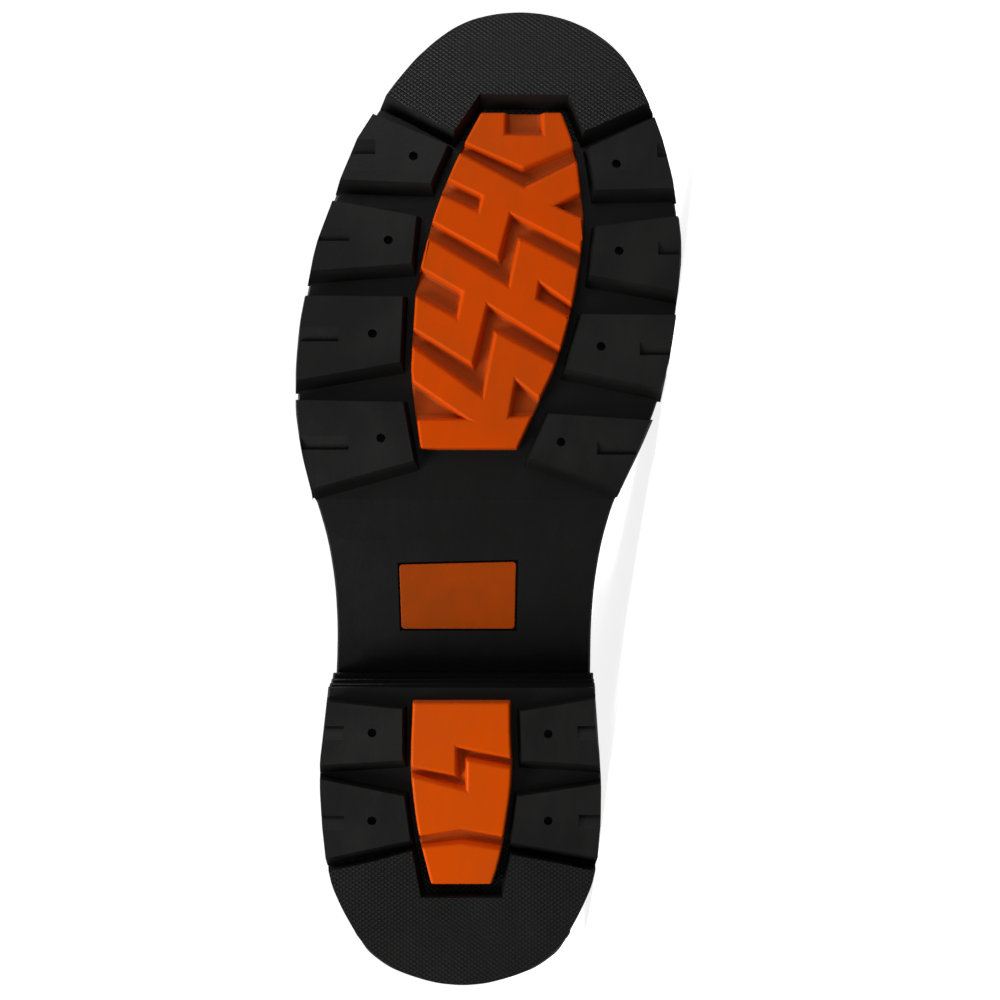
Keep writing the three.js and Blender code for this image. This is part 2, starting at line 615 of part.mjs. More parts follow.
// The same surface moved outward along its normal
function offsetPoint(climb, around, offset) {
  const step = 0.004;
  const wrap = (a) => (a + 2) % 2;
  const low = Math.max(climb - step, 0);
  const high = Math.min(climb + step, 1);
  const up = formPoint(high, around).sub(formPoint(low, around));
  const along = formPoint(climb, wrap(around + step)).sub(formPoint(climb, wrap(around - step)));
  const point = formPoint(climb, around);
  const normal = up.cross(along).normalize();
  if (climb === 0) normal.setZ(0).normalize();
  point.addScaledVector(normal, offset);
  if (climb === 0) point.z = seatAt(point.x) - GAP;
  return point;
}

const ringOf = (climb, offset) =>
  Array.from({ length: RING_STEPS }, (_, i) => offsetPoint(climb, (2 * i) / RING_STEPS, offset).toArray());
const CLIMBS = Array.from({ length: RINGS + 1 }, (_, i) => i / RINGS);

// A body from rings in order; a loop joins its last ring to its first, otherwise both ends are capped.
function skin(rings, loop) {
  const corners = rings.flat();
  const n = rings[0].length;
  const faces = [];
  const joins = loop ? rings.length : rings.length - 1;
  for (let k = 0; k < joins; k += 1) {
    const next = (k + 1) % rings.length;
    for (let i = 0; i < n; i += 1) {
      const j = (i + 1) % n;
      faces.push([k * n + i, k * n + j, next * n + j, next * n + i]);
    }
  }
  if (!loop) {
    for (const [ring, flip] of [[0, true], [rings.length - 1, false]]) {
      const middle = rings[ring]
        .reduce((sum, point) => sum.map((value, axis) => value + point[axis] / n), [0, 0, 0]);
      corners.push(middle);
      const hub = corners.length - 1;
      for (let i = 0; i < n; i += 1) {
        const [a, b] = [ring * n + i, ring * n + ((i + 1) % n)];
        faces.push(flip ? [hub, b, a] : [hub, a, b]);
      }
    }
  }
  return closedBody(corners, faces);
}

// The upper's outer form moved out by offset, a filled body; past is how far it runs on at both ends.
function form(offset, past = 0) {
  const rings = CLIMBS.map((climb) => ringOf(climb, offset));
  if (past) {
    rings.unshift(rings[0].map(([x, y, z]) => [x, y, z - past]));
    rings.push(rings[rings.length - 1].map(([x, y, z]) => [x, y, z + past]));
  }
  return skin(rings, false);
}

// Everything below the feather edge, which the upper and its overlays are trimmed by
const belowSeat = slab([
  { inset: -FEATHER_INSET, height: () => BELOW },
  { inset: -FEATHER_INSET, height: seatAt },
]);
const layer = (inner, outer) => form(outer).subtract(form(inner, LUG_DEPTH)).subtract(belowSeat);

function upper() {
  const outside = CLIMBS.filter((climb) => climb < COLLAR_BAND_START).map((climb) => ringOf(climb, 0));
  outside.push(ringOf(COLLAR_BAND_START, 0), ringOf(COLLAR_BAND_START + COLLAR_BAND_STEP, COLLAR_BAND));
  outside.push(ringOf(1 - COLLAR_BAND_STEP, COLLAR_BAND), ringOf(1, COLLAR_BAND / 2));
  const inside = CLIMBS.map((climb) => ringOf(climb, -LEATHER)).reverse();
  return skin([...outside, ...inside], true).subtract(belowSeat);
}

const sidePoints = (table) => table.map(([along, up]) => [along * SOLE_LENGTH, up * COLLAR_HEIGHT]);
const FAR = BALL_WIDTH;

const counter = () =>
  layer(GAP, GAP + OVERLAY).intersect(sideBlock(sidePoints(COUNTER_EDGE), -FAR, FAR));

function backstay() {
  const half = STRIP_WIDTH / 2;
  const plan = planOf([[-0.1, 0], [0.2, 0]]).flatMap(({ x }, i) =>
    (i ? [half, -half] : [-half, half]).map((y) => new THREE.Vector2(x, y)),
  );
  return layer(GAP, GAP + OVERLAY)
    .intersect(block(plan, 0, BACKSTAY.foot * COLLAR_HEIGHT, BACKSTAY.top * COLLAR_HEIGHT, 0));
}

function sideStrip(side) {
  const { foot, footUp, top, innerUp, outerUp } = SIDE_STRIP;
  const half = STRIP_WIDTH / 2;
  const line = sidePoints([[foot, footUp], [top, side > 0 ? innerUp : outerUp]]);
  const outline = [
    [line[0][0] - half, line[0][1]],
    [line[0][0] + half, line[0][1]],
    [line[1][0] + half, line[1][1]],
    [line[1][0] - half, line[1][1]],
  ];
  const [nearY, farY] = side > 0 ? [0, FAR] : [-FAR, 0];
  return layer(GAP, GAP + OVERLAY).intersect(sideBlock(outline, nearY, farY));
}

// A strap's run in the side view: a straight middle line with a direction and a normal
function runOf({ back, backUp, front, frontUp }) {
  const [start, end] = sidePoints([[back, backUp], [front, frontUp]]).map((p) => new THREE.Vector2(...p));
  const direction = end.clone().sub(start).normalize();
  const across = new THREE.Vector2(-direction.y, direction.x);
  return { start, end, direction, across };
}

// A band along a run from one x to another, pointed at its front where tip is given
function bandOutline(run, fromX, toX, width, tip = 0) {
  const at = (x, offset) => {
    const t = (x - run.start.x) / run.direction.x;
    const point = run.start.clone().addScaledVector(run.direction, t).addScaledVector(run.across, offset);
    return [point.x, point.y];
  };
  const half = width / 2;
  const outline = [at(fromX, -half), at(toX, -half)];
  for (const [reach, side] of tip ? TIP_SHAPE : []) outline.push(at(toX + tip * reach, half * side));
  return [...outline, at(toX, half), at(fromX, half)];
}

const STRAP_TOP = GAP + STRAP_THICKNESS;
const TAIL_TOP = STRAP_TOP + STRAP_THICKNESS;

function strap(run, closed) {
  const outline = bandOutline(run, -0.2 * SOLE_LENGTH, SOLE_LENGTH, STRAP_WIDTH);
  const end = closed ? FAR : -STRIP_WIDTH / 2 - GAP;
  return layer(GAP, STRAP_TOP).intersect(sideBlock(outline, -FAR, end));
}

function strapTail(run, buckleX) {
  const toX = buckleX + TAIL_REACH * BUCKLE_LENGTH;
  const outline = bandOutline(run, buckleX - BUCKLE_LENGTH / 2, toX, TAIL_WIDTH, TAIL_TIP);
  return layer(STRAP_TOP + GAP, TAIL_TOP).intersect(sideBlock(outline, -FAR, 0));
}

function keeper(run, buckleX) {
  const x = buckleX + KEEPER_REACH * BUCKLE_LENGTH;
  const width = STRAP_WIDTH + 2 * GAP;
  const loop = sideBlock(bandOutline(run, x, x + KEEPER_WIDTH, width + 2 * OVERLAY), -FAR, 0);
  const bore = sideBlock(bandOutline(run, x - KEEPER_WIDTH, x + 2 * KEEPER_WIDTH, width), -FAR, 0);
  return layer(GAP, TAIL_TOP + GAP + OVERLAY)
    .intersect(loop)
    .subtract(form(TAIL_TOP + GAP).intersect(bore));
}

// The place of a buckle: the point of the outer side under it, strap direction, and outward normal.
// settle is how far it sinks towards the strap, which curves away under its ends.
function buckleSeat(run, buckleX, settle) {
  const goal = run.start.clone().addScaledVector(run.direction, (buckleX - run.start.x) / run.direction.x);
  let best = null;
  for (let k = 0; k <= 200; k += 1)
    for (let i = 101; i < 200; i += 1) {
      const point = formPoint(k / 200, i / 100);
      const miss = Math.hypot(point.x - goal.x, point.z - goal.y);
      if (!best || miss < best.miss) best = { miss, climb: k / 200, around: i / 100 };
    }
  const seat = offsetPoint(best.climb, best.around, TAIL_TOP + GAP - settle);
  const normal = seat.clone().sub(formPoint(best.climb, best.around)).normalize();
  const direction = new THREE.Vector3(run.direction.x, 0, run.direction.y);
  direction.addScaledVector(normal, -direction.dot(normal)).normalize();
  return new THREE.Matrix4()
    .makeBasis(direction, new THREE.Vector3().crossVectors(normal, direction), normal)
    .setPosition(seat);
}

// Buckle pieces lie flat: X along the strap to its tip, Y across it, Z away from the boot.
const BUCKLE_WIDTH = STRAP_WIDTH + 2 * GAP + 2 * BUCKLE_BAR;
const ROLLER_X = BUCKLE_LENGTH / 2 - BUCKLE_BAR / 2;
const BAR_HEIGHT = ROLLER_RADIUS;

function roundedRectangle(length, width, radius) {
  const [a, b] = [length / 2 - radius, width / 2 - radius];
  const outline = new THREE.Shape();
  outline.absarc(a, b, radius, 0, Math.PI / 2);
  outline.absarc(-a, b, radius, Math.PI / 2, Math.PI);
  outline.absarc(-a, -b, radius, Math.PI, 1.5 * Math.PI);
  outline.absarc(a, -b, radius, 1.5 * Math.PI, 2 * Math.PI);
  outline.closePath();
  return outline;
}

function acrossTube(radius, length, x, z, sides) {
  const tube = new THREE.CylinderGeometry(radius, radius, length, sides);
  tube.translate(x, 0, z);
  return solidOf(tube);
}

function buckleFrame() {
  const bevel = 0.5;
  const outline = roundedRectangle(BUCKLE_LENGTH - 2 * bevel, BUCKLE_WIDTH - 2 * bevel, FRAME_CORNER);
  const rim = 2 * BUCKLE_BAR - 2 * bevel;
  outline.holes.push(roundedRectangle(BUCKLE_LENGTH - rim, BUCKLE_WIDTH - rim, FRAME_CORNER / 2));
  const plate = new THREE.ExtrudeGeometry(outline, {
    depth: BUCKLE_BAR - 2 * bevel,
    bevelThickness: bevel,
    bevelSize: bevel,
    bevelSegments: 1,
    curveSegments: 2,
  });
  plate.translate(0, 0, BAR_HEIGHT - BUCKLE_BAR / 2 + bevel);
  const opening = new THREE.BoxGeometry(2 * ROLLER_RADIUS + GAP, BUCKLE_WIDTH - 2 * BUCKLE_BAR, 4 * BUCKLE_BAR);
  opening.translate(ROLLER_X, 0, BAR_HEIGHT);
  return solidOf(plate)
    .subtract(solidOf(opening))
    .add(acrossTube(ROLLER_RADIUS / 2, BUCKLE_WIDTH - BUCKLE_BAR, ROLLER_X, BAR_HEIGHT, 8));
}

function buckleRoller() {
  const length = BUCKLE_WIDTH - 2 * BUCKLE_BAR - 2 * GAP;
  return acrossTube(ROLLER_RADIUS, length, ROLLER_X, BAR_HEIGHT, 12)
    .subtract(acrossTube(ROLLER_RADIUS / 2 + GAP, 2 * length, ROLLER_X, BAR_HEIGHT, 12));
}

function buckleProng() {
  const start = -BUCKLE_LENGTH / 2 + BUCKLE_BAR / 2;
  const top = BAR_HEIGHT + BUCKLE_BAR / 2 + GAP + PRONG_RADIUS;
  const rollerTop = BAR_HEIGHT + ROLLER_RADIUS + GAP + PRONG_RADIUS;
  const path = new THREE.CatmullRomCurve3([
    new THREE.Vector3(start - BUCKLE_BAR / 2 - 2 * GAP - PRONG_RADIUS, 0, BAR_HEIGHT),
    new THREE.Vector3(start - BUCKLE_BAR / 2 - 3 * GAP, 0, top + GAP),
    new THREE.Vector3(start + BUCKLE_BAR / 2, 0, top),
    new THREE.Vector3(0, 0, mix(top, rollerTop, 0.4)),
    new THREE.Vector3(ROLLER_X + ROLLER_RADIUS * 0.6, 0, rollerTop),
  ]);
  const section = new THREE.Shape().absarc(0, 0, PRONG_RADIUS, 0, 2 * Math.PI);
  return solidOf(new THREE.ExtrudeGeometry(section, {
    steps: 7, extrudePath: path, curveSegments: 3, bevelEnabled: false,
  }));
}

const boot = new THREE.Group();

function addPiece(name, solid, material, place) {
  const mesh = solid.getMesh();
  const corners = new THREE.BufferGeometry();
  corners.setAttribute("position", new THREE.BufferAttribute(mesh.vertProperties, mesh.numProp));
  corners.setIndex(new THREE.BufferAttribute(mesh.triVerts, 1));
  const geometry = corners.toNonIndexed();
  geometry.computeVertexNormals();
  const piece = new THREE.Mesh(geometry, MATERIALS[material]);
  piece.name = name;
  if (place) piece.applyMatrix4(place);
  boot.add(piece);
}

addPiece("outsole", outsole(), "black_rubber");
addPiece("forefoot_insert", insert(FOREFOOT_INSERT, FOREFOOT_CHANNELS, plateAt), "orange_rubber");
addPiece("arch_plate", archPlate(), "orange_rubber");
addPiece("heel_block", heelBlock(), "black_rubber");
addPiece("heel_insert", insert(HEEL_INSERT, HEEL_CHANNELS, () => LUG_DEPTH), "orange_rubber");
addPiece("midsole", midsole(), "black_rubber");
addPiece("welt", welt(), "black_rubber");
addPiece("insole", insole(), "insole_leather");
addPiece("upper", upper(), "black_leather");
addPiece("counter", counter(), "black_leather");
addPiece("backstay", backstay(), "black_leather");
addPiece("side_strip_inner", sideStrip(1), "black_leather");
addPiece("side_strip_outer", sideStrip(-1), "black_leather");

for (const [name, table, closed, settle] of [
  ["instep", INSTEP_STRAP, true, 0],
  ["top", TOP_STRAP, false, 2.8 * GAP],
]) {
  const run = runOf(table);
  const buckleX = table.buckle * SOLE_LENGTH;
  const seat = buckleSeat(run, buckleX, settle);
  addPiece(`${name}_strap`, strap(run, closed), "black_leather");
  addPiece(`${name}_strap_end`, strapTail(run, buckleX), "black_leather");
  addPiece(`${name}_keeper`, keeper(run, buckleX), "black_leather");
  addPiece(`${name}_buckle_frame`, buckleFrame(), "steel", seat);
  addPiece(`${name}_buckle_roller`, buckleRoller(), "steel", seat);
  addPiece(`${name}_buckle_prong`, buckleProng(), "steel", seat);
}

// The boot lies on the facet of its own hull that spans sole edge and shaft on the inner side.
function restingTurn(group) {
  group.updateMatrixWorld(true);
  const points = [];
  group.traverse((piece) => {
    if (!piece.isMesh) return;
    const at = piece.geometry.attributes.position;
    for (let i = 0; i < at.count; i += 1)
      points.push(new THREE.Vector3().fromBufferAttribute(at, i).applyMatrix4(piece.matrixWorld));
  });
  const inward = new THREE.Vector3(0, 1, 0);
  const middle = new THREE.Vector3(0.42 * SOLE_LENGTH, 0, 0.33 * COLLAR_HEIGHT);
  const { face } = new ConvexHull()
    .setFromPoints(points)
    .faces.filter(({ normal }) => normal.dot(inward) > 0.5)
    .map((candidate) => {
      const { normal, constant } = candidate;
      return { face: candidate, reach: (constant - normal.dot(middle)) / normal.dot(inward) };
    })
    .reduce((nearest, next) => (next.reach < nearest.reach ? next : nearest));
  return new THREE.Quaternion().setFromUnitVectors(face.normal, inward);
}

boot.quaternion.copy(restingTurn(boot));
const laid = new THREE.Group();
laid.add(boot);
laid.rotation.x = -Math.PI / 2;
const bounds = new THREE.Box3().setFromObject(laid, true);
const middle = bounds.getCenter(new THREE.Vector3());
laid.position.set(-middle.x, -middle.y, -bounds.min.z);

const part = new THREE.Group();
part.add(laid);

export default part;
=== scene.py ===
"""The looks of a right biker boot lying on its inner side.

Each piece is shaped in the boot's own sizes: millimetres along the sole from the heel's end, across it
with the inner side positive, and up the leg from the floor that a standing boot would have.
"""

import json
import logging
import math
from dataclasses import dataclass, field
from enum import Enum
from typing import Callable, Iterable, Sequence

import bmesh
import bpy
from mathutils import Matrix, Vector, noise


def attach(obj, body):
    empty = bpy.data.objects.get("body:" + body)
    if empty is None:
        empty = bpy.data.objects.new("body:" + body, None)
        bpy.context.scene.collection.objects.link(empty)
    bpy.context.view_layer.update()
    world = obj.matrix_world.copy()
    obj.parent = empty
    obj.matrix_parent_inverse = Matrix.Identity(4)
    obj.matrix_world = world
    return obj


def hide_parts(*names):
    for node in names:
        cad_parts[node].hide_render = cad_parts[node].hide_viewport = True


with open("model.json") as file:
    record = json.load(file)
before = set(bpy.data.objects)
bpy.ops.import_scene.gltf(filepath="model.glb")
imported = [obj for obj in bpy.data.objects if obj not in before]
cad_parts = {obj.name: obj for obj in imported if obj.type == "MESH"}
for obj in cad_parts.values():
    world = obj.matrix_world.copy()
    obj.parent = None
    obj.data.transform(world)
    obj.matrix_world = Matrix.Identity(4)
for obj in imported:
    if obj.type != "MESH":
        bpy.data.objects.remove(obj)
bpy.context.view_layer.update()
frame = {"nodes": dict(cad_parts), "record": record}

log = logging.getLogger("biker_boot")
MM = 0.001


class Place:
    """Turns the boot's own millimetres into the row frame's metres and back.

    The boot lies a little turned on the floor. Its tread carries two mounts whose places along and
    across the sole are known, so they give the turn.
    """

    SOLE_LENGTH = 308.0
    BALL_WIDTH = 119.5
    FOREFOOT = (0.69, 0.28)
    HEEL = (0.182, 0.21)

    def __init__(self, record: dict) -> None:
        """Reads the two tread mounts.

        Args:
            record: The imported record.
        """
        mounts = {mount["name"]: mount for mount in record["mounts"]}
        fore = Vector(mounts["tread_forefoot"]["pos_m"])
        heel = Vector(mounts["tread_heel"]["pos_m"])
        self.up = -Vector(mounts["tread_forefoot"]["axis"]).normalized()
        step = fore - heel
        step -= self.up * step.dot(self.up)
        along = (self.FOREFOOT[0] - self.HEEL[0]) * self.SOLE_LENGTH
        inward = -(self.FOREFOOT[1] - self.HEEL[1]) * self.BALL_WIDTH
        turn = math.atan2(inward, along)
        self.forward = Matrix.Rotation(-turn, 3, self.up) @ step.normalized()
        self.inner = self.up.cross(self.forward)
        reach_along = self.FOREFOOT[0] * self.SOLE_LENGTH
        reach_across = -self.FOREFOOT[1] * self.BALL_WIDTH
        self.origin = fore - (self.forward * reach_along + self.inner * reach_across) * MM
        turned = Matrix((self.forward, self.inner, self.up)).transposed().to_4x4()
        self.matrix = Matrix.Translation(self.origin) @ turned @ Matrix.Scale(MM, 4)
        self.inverse = self.matrix.inverted()

    def point(self, along: float, across: float, up: float) -> Vector:
        """A place on the boot in millimetres, as a point of the row frame."""
        return self.matrix @ Vector((along, across, up))


PLACE = Place(frame["record"])
L = Place.SOLE_LENGTH

# The toe springs up at the front of the sole: where that starts and how far it runs, as shares of
# the length, and how high the tip rises.
SPRING_START = 0.72
SPRING_RUN = 0.28
SPRING_RISE = 8.0


def ramp(value: float, low: float, high: float) -> float:
    """0 up to low, 1 from high on and straight between; low may be the larger number."""
    return min(max((value - low) / (high - low), 0.0), 1.0)


class Value:
    """A shader socket that takes part in Python sums."""

    def __init__(self, graph: "Graph", socket: bpy.types.NodeSocket) -> None:
        """Wraps one output socket of a graph."""
        self.graph = graph
        self.socket = socket

    def _math(self, operation: str, *others: "Value | float") -> "Value":
        """Adds one Math node whose first input is this value."""
        return self.graph.add("ShaderNodeMath", {"operation": operation}, (self, *others))

    def __add__(self, other: "Value | float") -> "Value":
        """Sum."""
        return self._math("ADD", other)

    __radd__ = __add__

    def __mul__(self, other: "Value | float") -> "Value":
        """Product."""
        return self._math("MULTIPLY", other)

    __rmul__ = __mul__

    def __sub__(self, other: "Value | float") -> "Value":
        """Difference."""
        return self._math("SUBTRACT", other)

    def __rsub__(self, other: float) -> "Value":
        """Difference from a number."""
        return self.graph.add("ShaderNodeMath", {"operation": "SUBTRACT"}, (other, self))

    def __truediv__(self, other: "Value | float") -> "Value":
        """Quotient."""
        return self._math("DIVIDE", other)

    def clamped(self) -> "Value":
        """The value held between 0 and 1."""
        return self.graph.add("ShaderNodeClamp", {}, (self, 0.0, 1.0))

    def sine(self) -> "Value":
        """Its sine."""
        return self._math("SINE")

    def size(self) -> "Value":
        """Its absolute value."""
        return self._math("ABSOLUTE")

    def smaller(self, other: "Value | float") -> "Value":
        """The smaller of two values."""
        return self._math("MINIMUM", other)

    def larger(self, other: "Value | float") -> "Value":
        """The larger of two values."""
        return self._math("MAXIMUM", other)

    def rising(self, low: float, high: float) -> "Value":
        """0 up to low, 1 from high on, and smooth between."""
        settings = {"interpolation_type": "SMOOTHSTEP"}
        return self.graph.add("ShaderNodeMapRange", settings, (self, low, high, 0.0, 1.0))


class Graph:
    """The node tree of one material, built by calls."""

    def __init__(self, name: str) -> None:
        """Starts an empty material with an output.

        Args:
            name: The material's name.
        """
        self.material = bpy.data.materials.new(name)
        self.material.use_nodes = True
        self.tree = self.material.node_tree
        self.tree.nodes.clear()
        self.output = self.tree.nodes.new("ShaderNodeOutputMaterial")
        self._place: tuple[Value, Value, Value] | None = None
        self._point: Value | None = None

    def add(self, kind: str, settings: dict, inputs: Iterable | dict, output: int | str = 0) -> Value:
        """Adds one node.

        Args:
            kind: The node's type.
            settings: Its own properties, set first.
            inputs: Values, numbers or tuples for its sockets, in order or by name or number.
            output: Which output is returned.

        Returns:
            The chosen output.
        """
        node = self.tree.nodes.new(kind)
        for name, value in settings.items():
            setattr(node, name, value)
        pairs = inputs.items() if isinstance(inputs, dict) else enumerate(inputs)
        for key, value in pairs:
            if isinstance(value, Value):
                self.tree.links.new(value.socket, node.inputs[key])
            elif value is not None:
                node.inputs[key].default_value = value
        return Value(self, node.outputs[output])

    def point(self) -> Value:
        """The shaded point in the object's own metres.

        Returns:
            The point, from one shared node.
        """
        if self._point is None:
            self._point = self.add("ShaderNodeTexCoord", {}, (), "Object")
        return self._point

    def scaled(self, x: float, y: float, z: float) -> Value:
        """The shaded point stretched by three factors."""
        return self.add("ShaderNodeMapping", {}, {0: self.point(), 3: (x, y, z)})

    def dot(self, vector: Value, axis: Vector) -> Value:
        """The dot product of a vector and a fixed axis."""
        settings = {"operation": "DOT_PRODUCT"}
        return self.add("ShaderNodeVectorMath", settings, (vector, tuple(axis)), "Value")

    def along_axis(self, axis: Vector) -> Value:
        """How far the shaded point lies along an axis of the boot, in millimetres."""
        return self.dot(self.point(), axis / MM) + -PLACE.origin.dot(axis) / MM

    def boot(self) -> tuple[Value, Value, Value]:
        """The shaded point in the boot's own millimetres.

        Returns:
            Its places along, across and up, from shared nodes.
        """
        if self._place is None:
            axes = (PLACE.forward, PLACE.inner, PLACE.up)
            self._place = tuple(self.along_axis(axis) for axis in axes)
        return self._place

    def facing(self, direction: Vector) -> Value:
        """How squarely the surface faces a direction of the row frame, from -1 to 1."""
        return self.dot(self.add("ShaderNodeTexCoord", {}, (), "Normal"), direction)

    def noise(self, scale: float, detail: float = 2.0, vector: Value | None = None) -> Value:
        """Soft noise between 0 and 1 with that many cells a metre."""
        sockets = {"Vector": vector or self.point(), "Scale": scale, "Detail": detail}
        return self.add("ShaderNodeTexNoise", {}, sockets)

    def cells(self, scale: float, feature: str, vector: Value | None = None) -> Value:
        """Distances in a field of cells."""
        sockets = {"Vector": vector or self.point(), "Scale": scale}
        return self.add("ShaderNodeTexVoronoi", {"feature": feature}, sockets, "Distance")

    def blend(self, share: Value, low: "Value | tuple", high: "Value | tuple") -> Value:
        """A color between two colors."""
        low, high = [(*c, 1.0) if isinstance(c, tuple) else c for c in (low, high)]
        return self.add("ShaderNodeMix", {"data_type": "RGBA"}, {0: share, 6: low, 7: high}, 2)

    def bump(
        self, height: Value, strength: float, distance_mm: float, under: Value | None = None,
    ) -> Value:
        """A normal bent by a height.

        Args:
            height: The height, from 0 to 1.
            strength: How much of it shows.
            distance_mm: The real height of 1.
            under: A normal that is bent already.

        Returns:
            The normal.
        """
        inputs = {"Height": height, "Strength": strength, "Distance": distance_mm * MM}
        if under:
            inputs["Normal"] = under
        return self.add("ShaderNodeBump", {}, inputs)

    def finish(self, **sockets: "Value | float | tuple") -> bpy.types.Material:
        """Feeds a Principled surface and links it to the output.

        Args:
            **sockets: Values by socket name, with _ for a space.

        Returns:
            The finished material.
        """
        named = {name.replace("_", " "): value for name, value in sockets.items()}
        surface = self.add("ShaderNodeBsdfPrincipled", {}, named)
        self.tree.links.new(surface.socket, self.output.inputs[0])
        return self.material


Color = tuple[float, float, float]


def toned(color: Color, factor: float) -> Color:
    """A color made darker or lighter by a factor."""
    return tuple(channel * factor for channel in color)


class Tread(Enum):
    """What a rubber piece is for.

    It is walked on, with or without a knurl on its end lugs, or it is anything else.
    """

    PLAIN = "plain"
    WALKED = "walked"
    KNURLED = "knurled"


@dataclass(frozen=True)
class Knurl:
    """The raised diamonds on the faces of the toe lug and the rear lug.

    run is the direction of the ridges. The toe lug's rear edge lies at toe_edge. Past a place on the
    outer and on the inner side it runs forward, and toe_outer and toe_inner give that place and the
    slope. The rear lug's front edge lies at heel_edge and runs back by heel_slope on both sides.
    """

    pitch: float = 1.25
    run: tuple[float, float] = (0.88, 0.62)
    toe_edge: float = 268.2
    toe_outer: tuple[float, float] = (5.0, 0.477)
    toe_inner: tuple[float, float] = (39.8, 0.447)
    toe_height: float = 0.7
    heel_edge: float = 47.0
    heel_slope: float = 0.2
    fade: float = 0.4
    height_mm: float = 0.6
    # The diamonds' tops take the worn color made lighter by this factor: a painted highlight.
    tone: float = 1.4

    def height(self, graph: Graph) -> Value:
        """The height of the diamonds.

        Args:
            graph: The material's graph.

        Returns:
            A height from 0 to 1.
        """
        along, across, _ = graph.boot()
        turn = math.pi / self.pitch
        rows = ((along * self.run[0] + across * self.run[1]) * turn).sine().size()
        ranks = ((along * self.run[0] - across * self.run[1]) * turn).sine().size()
        outer = (across * -1.0 - self.toe_outer[0]).larger(0.0) * self.toe_outer[1]
        inner = (across - self.toe_inner[0]).larger(0.0) * self.toe_inner[1]
        toe = (along - outer - inner).rising(self.toe_edge, self.toe_edge + self.fade)
        heel = across.size() * self.heel_slope + along
        heel = 1.0 - heel.rising(self.heel_edge, self.heel_edge + self.fade)
        face = graph.facing(-PLACE.up).rising(0.93, 0.97)
        return rows.smaller(ranks).rising(0.1, 0.75) * (toe * self.toe_height + heel).clamped() * face


@dataclass(frozen=True)
class Rubber:
    """Moulded rubber: a fine skin with small marks, and a knurled grip where the lug has one.

    sunk is its color in the grooves, reached between the depths sunk_from and sunk_to: painted
    shade, and on the orange rubber dust as well. High in the waist, over the heights in waist,
    painted shade darkens it on by the factor waist_shade_tone. The knurl's diamond tops get a
    painted highlight.
    """

    name: str
    color: Color
    worn: Color
    roughness: float = 0.5
    tread: Tread = Tread.PLAIN
    knurl: Knurl = Knurl()
    grain: float = 0.35
    # The grooves' color: painted shade, and on the orange rubber dust as well.
    sunk: Color = (0.005, 0.005, 0.0048)
    sunk_from: float = 0.4
    sunk_to: float = 3.6
    # Painted shade: high in the waist the color darkens over these heights, by the factor below.
    waist: tuple[float, float] = (9.0, 24.0)
    waist_shade_tone: float = 0.3
    gloss: float = 0.3
    tint: Color = (1.0, 1.0, 1.0)

    def groove_shade_share(self, graph: Graph) -> Value:
        """How far the shaded point lies down in the grooves, following the spring of the toe.

        It sets the share of painted groove shade.

        Args:
            graph: The material's graph.

        Returns:
            0 on the walked faces, rising to 1.
        """
        along, _, up = graph.boot()
        rise = (along - SPRING_START * L).larger(0.0) / (SPRING_RUN * L)
        return (up - rise * rise * SPRING_RISE).rising(self.sunk_from, self.sunk_to)

    def material(self) -> bpy.types.Material:
        """Makes the finish.

        Returns:
            The finished material.
        """
        graph = Graph(self.name)
        marks = graph.noise(38.0, 6.0)
        fine = graph.noise(900.0, 3.0)
        scuffs = graph.noise(1.0, 5.0, graph.scaled(60.0, 260.0, 140.0))
        share = (marks * 0.7 + scuffs * 0.5).rising(0.45, 0.85)
        color = graph.blend(share, self.color, self.worn)
        rough = share * 0.1 + fine * 0.08 + (self.roughness - 0.08)
        normal = graph.bump(fine + marks * 0.6, self.grain, 0.12)
        if self.tread is not Tread.PLAIN:
            # Painted shade in the grooves; on the orange rubber it carries dust as well.
            color = graph.blend(self.groove_shade_share(graph), color, self.sunk)
            # Painted shade that deepens high in the waist.
            waist_shade = toned(self.sunk, self.waist_shade_tone)
            color = graph.blend(graph.boot()[2].rising(*self.waist), color, waist_shade)
        if self.tread is Tread.KNURLED:
            knurl = self.knurl.height(graph)
            normal = graph.bump(knurl, 1.0, self.knurl.height_mm, normal)
            # The diamonds' tops: the worn color, lightened as a painted highlight.
            color = graph.blend(knurl * 0.8, color, toned(self.worn, self.knurl.tone))
        return graph.finish(
            Base_Color=color, Roughness=rough, Normal=normal, Specular_IOR_Level=self.gloss,
            Specular_Tint=(*self.tint, 1.0),
        )


@dataclass(frozen=True)
class Leather:
    """Oiled full grain leather: pebbled grain, fine pores, soft gloss and worn high spots."""

    name: str
    color: Color
    worn: Color
    roughness: float = 0.4
    grain_mm: float = 1.1
    grain: float = 0.5
    coat: float = 0.18

    def material(self) -> bpy.types.Material:
        """Makes the finish.

        Returns:
            The finished material.
        """
        graph = Graph(self.name)
        warp = graph.noise(240.0, 2.0)
        stretched = graph.scaled(1.0, 0.82, 0.9)
        pebble = graph.cells(1000.0 / self.grain_mm, "DISTANCE_TO_EDGE", stretched).rising(0.0, 0.35)
        pores = graph.cells(2600.0, "F1").rising(0.0, 0.5)
        clouds = graph.noise(14.0, 5.0)
        rubs = graph.noise(55.0, 6.0)
        share = (clouds * 0.8 + rubs * 0.5).rising(0.55, 0.95)
        color = graph.blend(share, self.color, self.worn)
        wrinkled = graph.scaled(150.0, 420.0, 260.0)
        creases = graph.noise(1.0, 4.0, wrinkled).rising(0.35, 0.7)
        height = pebble * (warp * 0.6 + 0.7) + pores * 0.25 + creases * 0.4
        normal = graph.bump(height, self.grain, 0.17)
        rough = share * 0.16 + (1.0 - pebble) * 0.18 + (self.roughness - 0.08)
        coat = (1.0 - share) * self.coat
        return graph.finish(
            Base_Color=color, Roughness=rough, Normal=normal, Coat_Weight=coat,
            Coat_Roughness=0.24, Specular_IOR_Level=0.34,
        )


